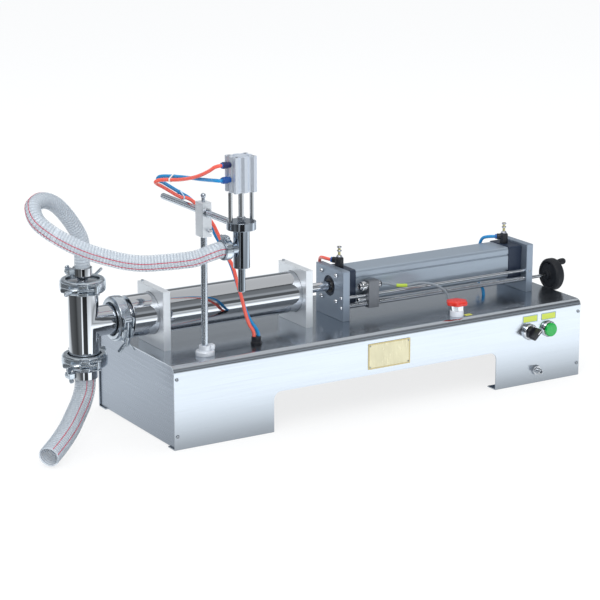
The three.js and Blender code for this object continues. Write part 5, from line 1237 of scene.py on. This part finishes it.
to_front, to_back = -0.57 * math.pi, 0.43 * math.pi
for name, node, ears, height in (
    ("top_clamp", "tee_clamp_top", [(to_front, math.pi / 2), (to_back, 0)], tee_high[2] + 0.00015),
    ("bottom_clamp", "tee_clamp_bottom", [(to_front, math.pi / 2), (to_back, math.pi / 3)],
     tee_low[2] - 0.00015),
):
    shells = [(vertices + (*tee_xy, height), faces) for vertices, faces in clamp_shells(ears)]
    piece(name, shells, cast_steel, "base", [node])
branch_lean = 0.55 * math.pi
shells = []
for vertices, faces in clamp_shells([(0, 0)]):
    x, y, z = vertices.T
    x, z = -z, x
    c, s = math.cos(branch_lean), math.sin(branch_lean)
    y, z = c * y - s * z, s * y + c * z
    shells.append((np.stack([x, y, z], axis=1) + (branch_x + 0.00015, *axis_yz), faces))
piece("branch_clamp", shells, cast_steel, "base", ["tee_clamp_branch"])

# Spigots
# A polished spigot with its own ferrule closes each end of the tee's run. A thin steel band with a
# wing screw grips the hose's end on it.
hose_grip, band_wall = 0.012, 0.002
for name, node, face, sign, pipe_radius, bore_radius, cover, collar_z, collar_radius, lean in (
    ("upper_spigot", "outlet_spigot", tee_high[2] + 0.0003, 1, 0.0095, 0.007, 0.007, 0.284, 0.0165,
     math.pi / 6),
    ("lower_spigot", "inlet_spigot", tee_low[2] - 0.0003, -1, 0.016, 0.011, 0.006, 0.118, 0.021,
     math.pi / 14),
):
    grip_end, floor = collar_z + sign * hose_grip, collar_z - sign * band_wall
    spigot_profile = [
        (bore_radius, face), (ferrule_radius, face), (ferrule_radius, face + sign * 0.0012),
        (ferrule_radius - 0.004, face + sign * ferrule_thick),
        (0.025, face + sign * (ferrule_thick + 0.0003)),
        (0.025, face + sign * cover), (pipe_radius, face + sign * (cover + 0.0006)), (pipe_radius, floor),
        (collar_radius, floor), (collar_radius, grip_end), (collar_radius - band_wall, grip_end),
        (collar_radius - band_wall, collar_z), (bore_radius, collar_z), (bore_radius, face),
    ]
    piece(name, [turned(spigot_profile, "z", tee_xy, 96, 0.0007)], mirror_steel, "base",
          [node])
    ear = (tee_xy[0] - collar_radius - nut_hub + 0.0006, collar_z + sign * hose_grip / 2)
    lug = brick((ear[0] - 0.004, tee_xy[1] - 0.004, ear[1] - 0.0048),
                (ear[0] + nut_hub + 0.001, tee_xy[1] + 0.013,
                ear[1] + 0.0048), 0.0006, 0.001)
    piece(name + "_screw", [*wing_nut(screw_nut, ear, tee_xy[1] + screw_nut[0], lean), lug], cast_steel,
          "base")

# Post
# A polished bar stands in a turned base on the deck, where a screw in the base's lug sets its height.
# A ring on it under the deck keeps it from being drawn out.
ground_steel = finish("ground steel bar", (0.58, 0.63, 0.69), 1, 0.27, (160, 160, 160), 0.02, 0.02)
satin_foot = finish("satin foot", (0.80, 0.83, 0.88), 0.45, 0.34, (400, 400, 60), 0.05, 0.04)
post_low, post_high = extent("post")
post_xy, post_radius = middle("post")[:2], 0.0055
stop_top = under_deck - 0.0003
post_profile = [(0, post_low[2]), (post_radius, post_low[2]), (post_radius, stop_top - 0.008),
                (0.009, stop_top - 0.008),
                (0.009, stop_top), (post_radius, stop_top), (post_radius, post_high[2]), (0, post_high[2])]
piece("post_bar", [turned(post_profile, "z", post_xy, 64, 0.0007)], ground_steel, "post",
      ["post"])
base_top, lug_top = deck_height + 0.008, deck_height + 0.017
base_profile = [(0.0058, deck_height), (0.016, deck_height), (0.016, base_top - 0.0015), (0.0145, base_top),
                (0.010, base_top), (0.010, lug_top), (0.0058, lug_top), (0.0058, deck_height)]
lug_low = (post_xy[0] + 0.008, post_xy[1] - 0.005, base_top - 0.0003)
lug_high = (post_xy[0] + 0.016, post_xy[1] + 0.005, lug_top)
piece("post_foot", [turned(base_profile, "z", post_xy, 80, 0.0008)], satin_foot, "base",
      ["post_base"], joins=[brick(lug_low, lug_high, 0.0008, 0.001)])
piece("post_foot_screw", [socket_screw("x", lug_high[0], (post_xy[1], (base_top + lug_top) / 2), 0.0024)],
      zinc_screw,
      "base")

# Clamp block and thumb screw
# A milled block sits on the post's top and is bored across for the arm. The ball-headed screw in its
# top presses on the arm.
low, high = extent("clamp_block")
arm_z = 0.388
arm_radius = 0.0055
arm_hole = barrel_of("y", low[1] - through, high[1] + through, (post_xy[0], arm_z), arm_radius + 0.0003, 0)
post_socket = barrel_of("z", low[2] - through, post_high[2] + 0.0003, post_xy, 0.0058, 0)
shank_hole = barrel_of("z", arm_z, high[2] + through, post_xy, 0.0033, 0, 40)
piece("bracket", [slab(rounded_box(low[:2], high[:2], 0.0012, 4), "z", low[2], high[2], 0.0009)], milled,
      "post", ["clamp_block"], cuts=[arm_hole, post_socket, shank_hole])
screw_at = (post_xy[0] + 0.003, low[2] + 0.011)
knob = [(0, low[1]), (0.0024, low[1]), (0.0024, low[1] - 0.0025), (0.0040, low[1] - 0.0025),
        (0.0040, low[1] - 0.0065), (0, low[1] - 0.0072)]
boss = collar_of("y", low[1] - 0.0028, low[1] + 0.0002, (post_xy[0], arm_z), 0.0080, arm_radius + 0.0003,
                 0.0006)
piece("bracket_screw", [turned(knob, "y", screw_at, 32, 0.0006), boss], bright_chrome,
      "post")
low, high = extent("thumb_screw")
ball_z, ball_radius, shank_radius = high[2] - 0.0045, 0.0045, 0.003
t = np.linspace(math.pi - math.asin(shank_radius / ball_radius), 0, 24)
thumb_profile = [(0, low[2]), (shank_radius, low[2])] + [
    (ball_radius * math.sin(a), ball_z + ball_radius * math.cos(a)) for a in t[:-1]] + [(0, high[2])]
piece("ball_screw", [turned(thumb_profile, "z", post_xy, 48, 0.0002)], ground_steel,
      "thumb_screw",
      ["thumb_screw"])

# Arm and nozzle
# A polished bar reaches out from the post. Its thin end is screwed into the flange of the nozzle body,
# a turned tube with the hose's spigot on its side and the slim nozzle under it.
low, high = extent("arm")
head_y = -0.086
flange_low, flange_high, flange_radius = 0.384, 0.397, 0.024
neck_start = head_y + flange_radius
arm_profile = [(0, low[1]), (0.0035, low[1]), (0.0035, neck_start + 0.0003),
               (arm_radius, neck_start + 0.0003),
               (arm_radius, high[1]), (0, high[1])]
piece("arm_bar", [turned(arm_profile, "y", (post_xy[0], arm_z), 48, 0.0012)], ground_steel,
      "head",
      ["arm"])
head_xy = np.array((post_xy[0], head_y))
body_bottom, tip_z, body_radius, nozzle_radius, nozzle_bore = 0.321, 0.281, 0.0135, 0.006, 0.0043
body_profile = [
    (nozzle_bore, tip_z), (nozzle_radius - 0.0005, tip_z), (nozzle_radius, tip_z + 0.001),
    (nozzle_radius, body_bottom),
    (body_radius, body_bottom), (body_radius, flange_low), (flange_radius, flange_low),
    (flange_radius, flange_high),
    (0.0048, flange_high), (0.0048, flange_low + 0.0003), (0.0085, flange_low),
    (0.0085, body_bottom + 0.0003),
    (nozzle_bore, body_bottom), (nozzle_bore, tip_z),
]
port_z, port_reach, port_radius, port_bore, port_collar = 0.354, 0.024, 0.0095, 0.0065, 0.0165
collar_at = head_xy[0] - port_reach
mouth = collar_at - hose_grip
port_profile = [(0, head_xy[0] - 0.004), (port_radius, head_xy[0] - 0.004),
                (port_radius, collar_at + band_wall),
                (port_collar, collar_at + band_wall), (port_collar, mouth), (0.0138, mouth),
                (0.0138, collar_at), (0, collar_at)]
port_at_yz = (head_y, port_z)
body_cuts = [barrel_of("x", collar_at - through, head_xy[0], port_at_yz, port_bore, 0),
             barrel_of("y", neck_start - 0.0063, neck_start + through, (head_xy[0], arm_z), 0.0038, 0, 40)]
nozzle_steel = finish("nozzle steel", (0.42, 0.47, 0.53), 1, 0.10, (400, 400, 40), 0.03, 0.04)
piece("nozzle_tube", [turned(body_profile, "z", head_xy, 80, 0.0007)], nozzle_steel, "head",
      ["nozzle_body"], joins=[turned(port_profile, "x", port_at_yz, 80, 0.0006)], cuts=body_cuts)
grip_x, grip_top = (mouth + collar_at) / 2, port_z + port_collar
housing = brick((grip_x - 0.0045, head_y - 0.007, grip_top - 0.0004),
                (grip_x + 0.0045, head_y + 0.007, grip_top + 0.0066),
                0.0012, 0.002)
grip_screw = [socket_screw("y", head_y - 0.007, (grip_x, grip_top + 0.0034), 0.0036, -1),
              barrel_of("y", head_y, head_y + 0.012, (grip_x, grip_top + 0.0034), 0.0026, 0.0004, 24)]
grip_band = collar_of("x", mouth + 0.0018, collar_at - 0.0012, port_at_yz, port_collar + 0.0007,
                      port_collar - 0.0002)
piece("port_clip", [grip_band, housing, *grip_screw], cast_steel, "head")

# Nozzle stem
# The stem's plug closes the nozzle at its tip. A hexagon on the stem locks it to the small air
# cylinder's rod, which lifts it to let the liquid out.
low, high = extent("nozzle_stem")
thin_top = flange_low - 0.007 - 0.014
stem_profile = [(0, low[2]), (0.003, low[2]), (0.004, low[2] + 0.001), (0.004, low[2] + 0.006),
                (0.0025, low[2] + 0.007),
                (0.0025, thin_top), (0.0045, thin_top + 0.0003), (0.0045, high[2]), (0, high[2])]
piece("stem", [turned(stem_profile, "z", head_xy, 48, 0.0003)], hard_chrome, "nozzle_stem",
      ["nozzle_stem"])
nut_low, nut_high = flange_high + 0.0015, flange_high + 0.007
piece("stem_nut", [slab(hexagon(0.013, head_xy, 0.2), "z", nut_low, nut_high, 0.0008,
                        [circle(0.0044, head_xy, 40)])],
      zinc_screw, "nozzle_stem")

# Air cylinder of the nozzle
# A short compact air cylinder stands on two pillars over the flange. Its body is an aluminium
# extrusion with scalloped sides and a round cap in its top, and two push-in fittings take the tubes.
extruded_aluminium = finish("extruded aluminium", (0.80, 0.85, 0.93), 0.72, 0.34, (500, 500, 10), 0.06, 0.05,
                            0.08,
                            blotch=14, streak=0.5)
low, high = extent("head_cylinder")
half_width, half_depth, body_low, body_high = 0.020, 0.017, 0.445, high[2]
scallop_share, offset_share, scallop_depth = 0.27, 0.42, 0.0034
sides = [(1, 0, half_width, half_depth), (0, 1, half_depth, half_width), (-1, 0, half_width, half_depth),
         (0, -1, half_depth, half_width)]
spots = []
for ux, uy, along, out in sides:
    t = np.linspace(0, math.pi, 9)
    for centre in (-along * offset_share, along * offset_share):
        s, inward = centre - along * scallop_share * np.cos(t), scallop_depth * np.sin(t) ** 2
        spots.append(np.stack([ux * s + uy * (out - inward), uy * s - ux * (out - inward)], axis=1))
    spots.append(np.array([[ux * along + uy * out, uy * along - ux * out]]))
scalloped = eased(np.vstack(spots), 0.0012, True) + head_xy
cap_rim, cap_recess = 0.011, 0.002
recess = collar_of("z", body_high - cap_recess, body_high + through, head_xy, cap_rim + cap_recess, cap_rim,
                   0)
stem_bore = barrel_of("z", body_low - through, 0.462 + 0.014 + 0.0006, head_xy, 0.0048, 0)
corner_screws = [head_xy + np.array((x, y)) for x in (-0.0148, 0.0148) for y in (-0.0122, 0.0122)]
wells = [barrel_of("z", body_high - 0.0016, body_high + through, at, 0.0031, 0, 32) for at in corner_screws]
piece("compact_cylinder", [slab(scalloped, "z", body_low, body_high, 0.0004)], extruded_aluminium,
      "head", ["head_cylinder"], cuts=[recess, stem_bore, *wells])
piece("compact_screws", [turned([(0, body_high - 0.0016), (0.0026, body_high - 0.0016),
                                 (0.0026, body_high - 0.0004),
                                 (0.0012, body_high - 0.0004), (0.0012, body_high - 0.0012),
                                 (0, body_high - 0.0012)],
                                "z", at, 24, 0.0001) for at in corner_screws], dark_bolt,
                                "head")
pillars = [turned([(0, flange_high), (0.0035, flange_high), (0.0035, body_low), (0, body_low)], "z",
                  (head_xy[0] + x, head_xy[1]), 40, 0.0003) for x in (-0.0195, 0.0195)]
piece("pillars", pillars, hard_chrome, "head")
fitting_start, fitting_end = low[0], head_xy[0] - half_width
fitting_navy = finish("navy fitting", (0.018, 0.022, 0.085), 0, 0.34, (400, 400, 400))
fitting_blue = finish("blue fitting", (0.012, 0.075, 0.30), 0, 0.32, (400, 400, 400))
for colour, height, fitting, ring_finish in (("red", 0.490, fitting_navy, collar_blue),
                                             ("blue", 0.466, fitting_blue, collar_blue)):
    fitting_profile = [(0.0031, fitting_start + 0.0015), (0.0050, fitting_start + 0.0015),
                       (0.0055, fitting_start + 0.0025),
                       (0.0055, fitting_end - 0.005), (0.0048, fitting_end - 0.005),
                       (0.0048, fitting_end + 0.0005),
                       (0.0031, fitting_end + 0.0005), (0.0031, fitting_start + 0.0015)]
    piece(f"fitting_{colour}", [turned(fitting_profile, "x", (head_y, height), 48, 0.0003)], fitting,
          "head")
    ring_profile = [(0.0031, fitting_start), (0.0047, fitting_start), (0.0047, fitting_start + 0.0008),
                    (0.0041, fitting_start + 0.0010), (0.0041, fitting_start + 0.0018),
                    (0.0031, fitting_start + 0.0018),
                    (0.0031, fitting_start)]
    piece(f"fitting_ring_{colour}", [turned(ring_profile, "x", (head_y, height), 40, 0.0001)], ring_finish,
          "head")

# Tube union on the deck
# A black plastic union with two push-in ports takes the nozzle's air tubes through the deck.
union_xy = middle("tube_bulkhead")[:2]
low, high = extent("tube_bulkhead")
union_profile = [(0, low[2]), (0.0072, low[2]), (0.0072, deck_height), (0.0095, deck_height),
                 (0.0095, deck_height + 0.004), (0.0081, deck_height + 0.0045), (0.0081, high[2]),
                 (0, high[2])]
piece("tube_union", [turned(union_profile, "z", union_xy, 64, 0.0006)], black_moulding,
      "base",
      ["tube_bulkhead"])

# Bench
# The machine stands on a plain white bench top. Seen directly it glows almost evenly white, with a faint
# shadow from its matt share.
# In reflections alone it glows in a painted pattern, darker near the machine and at the left front and in
# bright bands further out: painted reflections for the polished steel.
bench_size = 60
bench = solid("bench", [(np.array([(-1, -1, 0), (1, -1, 0), (1, 1, 0), (-1, 1, 0)]) * bench_size / 2,
                         [[0, 1, 2, 3]])],
              move=0)


def ramp(tree, value, stops):
    """A grey level that follows a value through a list of (value, level) stops."""
    low, high = stops[0][0], stops[-1][0]
    share = tree.nodes.new("ShaderNodeMapRange")
    share.inputs["From Min"].default_value, share.inputs["From Max"].default_value = low, high
    tree.links.new(value, share.inputs["Value"])
    levels = tree.nodes.new("ShaderNodeValToRGB")
    while len(levels.color_ramp.elements) < len(stops):
        levels.color_ramp.elements.new(0.5)
    top = max(level for _, level in stops)
    for stop, (place, level) in zip(levels.color_ramp.elements, stops):
        stop.position = (place - low) / (high - low)
        stop.color = (level / top,) * 3 + (1,)
    tree.links.new(share.outputs["Result"], levels.inputs["Fac"])
    scaled = tree.nodes.new("ShaderNodeMath")
    scaled.operation = "MULTIPLY"
    scaled.inputs[1].default_value = top
    tree.links.new(levels.outputs["Color"], scaled.inputs[0])
    return scaled.outputs["Value"]


def product(tree, a, b):
    """Two numbers multiplied."""
    times = tree.nodes.new("ShaderNodeMath")
    times.operation = "MULTIPLY"
    tree.links.new(a, times.inputs[0])
    tree.links.new(b, times.inputs[1])
    return times.outputs["Value"]


bench_paint = bpy.data.materials.new("bench top")
bench_paint.use_nodes = True
paint_tree = bench_paint.node_tree
paint_tree.nodes.remove(paint_tree.nodes["Principled BSDF"])
spot = paint_tree.nodes.new("ShaderNodeSeparateXYZ")
spot_place = paint_tree.nodes.new("ShaderNodeTexCoord")
paint_tree.links.new(spot_place.outputs["Object"], spot.inputs["Vector"])
ray = paint_tree.nodes.new("ShaderNodeLightPath")
tee_foot = (-0.4583, 0.0515)
away = []
for axis_name, start in zip("XY", tee_foot):
    minus = paint_tree.nodes.new("ShaderNodeMath")
    minus.operation = "SUBTRACT"
    minus.inputs[1].default_value = start
    paint_tree.links.new(spot.outputs[axis_name], minus.inputs[0])
    away.append(minus.outputs["Value"])
bearing = paint_tree.nodes.new("ShaderNodeMath")
bearing.operation = "ARCTAN2"
paint_tree.links.new(away[1], bearing.inputs[0])
paint_tree.links.new(away[0], bearing.inputs[1])
# Painted reflection: the glow that glossy rays see in front of the machine, in bright and dark bands by
# bearing from the tee's foot and by distance.
painted_reflection_bearings = [(-180, 0.10), (-140, 0.12), (-132, 0.13), (-130, 0.9), (-122, 0.9), (-120, 0.04), (-90, 0.04),
               (-85, 1.0), (0, 1.0)]
painted_reflection_front = product(paint_tree,
                      ramp(paint_tree, spot.outputs["Y"], [(-1.9, 0.8), (-1.3, 0.5), (-1.1, 0.5), (-0.8, 1.0),
                                                           (-0.5, 1.8), (-0.3, 1.7), (-0.0875, 0.62)]),
                      ramp(paint_tree, bearing.outputs["Value"],
                           [(math.radians(a), b) for a, b in painted_reflection_bearings]))
# Painted reflection behind the front: brighter away from the machine, dark far to the left.
painted_reflection_back = product(paint_tree, ramp(paint_tree, spot.outputs["Y"],
                                      [(-0.0875, 0.62), (0.3, 1.0), (1.2, 1.1)]),
                     ramp(paint_tree, spot.outputs["X"],
                          [(-1.4, 0.12), (-0.95, 0.16), (-0.8, 0.85), (-0.62, 1.05),
                                                          (-0.3, 1.0)]))
sides = paint_tree.nodes.new("ShaderNodeMix")
paint_tree.links.new(ramp(paint_tree, spot.outputs["Y"], [(-0.16, 0.0), (0.0, 1.0)]), sides.inputs["Factor"])
paint_tree.links.new(painted_reflection_front, sides.inputs["A"])
paint_tree.links.new(painted_reflection_back, sides.inputs["B"])
# Only glossy rays see this painted reflection glow. Camera rays see an even white glow with a faint shadow,
# and other rays a plain pale matt.
painted_reflection_glow = paint_tree.nodes.new("ShaderNodeEmission")
painted_reflection_glow.inputs["Color"].default_value = (0.93, 0.97, 1.0, 1)
paint_tree.links.new(sides.outputs["Result"], painted_reflection_glow.inputs["Strength"])
white_glow = paint_tree.nodes.new("ShaderNodeEmission")
white_glow.inputs["Strength"].default_value = 0.78
matt = paint_tree.nodes.new("ShaderNodeBsdfDiffuse")
matt.inputs["Color"].default_value = (0.22, 0.22, 0.22, 1)
seen = paint_tree.nodes.new("ShaderNodeAddShader")
paint_tree.links.new(white_glow.outputs[0], seen.inputs[0])
paint_tree.links.new(matt.outputs[0], seen.inputs[1])
bright_matt = paint_tree.nodes.new("ShaderNodeBsdfDiffuse")
bright_matt.inputs["Color"].default_value = (0.85, 0.85, 0.86, 1)
by_gloss = paint_tree.nodes.new("ShaderNodeMixShader")
paint_tree.links.new(ray.outputs["Is Glossy Ray"], by_gloss.inputs["Fac"])
paint_tree.links.new(bright_matt.outputs[0], by_gloss.inputs[1])
paint_tree.links.new(painted_reflection_glow.outputs[0], by_gloss.inputs[2])
by_camera = paint_tree.nodes.new("ShaderNodeMixShader")
paint_tree.links.new(ray.outputs["Is Camera Ray"], by_camera.inputs["Fac"])
paint_tree.links.new(by_gloss.outputs[0], by_camera.inputs[1])
paint_tree.links.new(seen.outputs[0], by_camera.inputs[2])
paint_tree.links.new(by_camera.outputs[0], paint_tree.nodes["Material Output"].inputs["Surface"])
bench.data.materials.append(bench_paint)

# Light
# A white room with dim walls low down and a bright strip at the horizon, and two large soft boxes. The
# background is white to the eye, and the polished steel mirrors the walls.
world = bpy.data.worlds.new("studio")
bpy.context.scene.world = world
world.use_nodes = True
sky = world.node_tree
direction = sky.nodes.new("ShaderNodeTexCoord")
height = sky.nodes.new("ShaderNodeSeparateXYZ")
sky.links.new(direction.outputs["Generated"], height.inputs["Vector"])
behind = ramp(sky, height.outputs["Z"], [(-1.0, 0.6), (-0.1, 0.8), (0.0, 1.15), (0.10, 1.0), (0.20, 0.42),
                                         (0.30, 0.26), (0.58, 0.26), (0.72, 0.10), (1.0, 0.06)])
before = ramp(sky, height.outputs["Z"], [(-1.0, 0.5), (-0.05, 1.0), (0.0, 0.8), (0.03, 0.14), (0.24, 0.14),
                                         (0.29, 0.5), (0.40, 0.5), (0.47, 0.28), (0.66, 0.26),
                                         (0.76, 0.08), (1.0, 0.06)])
half = sky.nodes.new("ShaderNodeMix")
sky.links.new(ramp(sky, height.outputs["Y"], [(-0.1, 0.0), (0.1, 1.0)]), half.inputs["Factor"])
sky.links.new(before, half.inputs["A"])
sky.links.new(behind, half.inputs["B"])
walls = half.outputs["Result"]
glossy = sky.nodes.new("ShaderNodeLightPath")
lit = sky.nodes.new("ShaderNodeMix")
lit.inputs["A"].default_value = 0.85
sky.links.new(glossy.outputs["Is Glossy Ray"], lit.inputs["Factor"])
sky.links.new(walls, lit.inputs["B"])
whole = sky.nodes.new("ShaderNodeMix")
whole.inputs["B"].default_value = 1.0
sky.links.new(glossy.outputs["Is Camera Ray"], whole.inputs["Factor"])
sky.links.new(lit.outputs["Result"], whole.inputs["A"])
sky.links.new(whole.outputs["Result"], sky.nodes["Background"].inputs["Strength"])
tint = sky.nodes.new("ShaderNodeMix")
tint.data_type = "RGBA"
tint.inputs["A"].default_value = (0.90, 0.95, 1.0, 1)
tint.inputs["B"].default_value = (1, 1, 1, 1)
sky.links.new(glossy.outputs["Is Camera Ray"], tint.inputs["Factor"])
sky.links.new(tint.outputs["Result"], sky.nodes["Background"].inputs["Color"])


def lamp(name, place, aim, size, power):
    """A soft box: a square lamp at one place, turned towards another."""
    data = bpy.data.lights.new(name, "AREA")
    data.size, data.energy = size, power
    made = bpy.data.objects.new(name, data)
    made.location = place
    away = np.array(aim, float) - np.array(place, float)
    turn = math.atan2(away[1], away[0])
    tip = math.atan2(math.hypot(away[0], away[1]), -away[2])
    made.rotation_euler = (tip, 0, turn - math.pi / 2)
    bpy.context.scene.collection.objects.link(made)


lamp("key lamp", (-1.5, -2.5, 3.2), (0, 0, 0.2), 2.2, 60)
lamp("top lamp", (0.3, 0.6, 3.0), (0, 0, 0.2), 5, 50)
bpy.context.scene.view_settings.view_transform = "Standard"
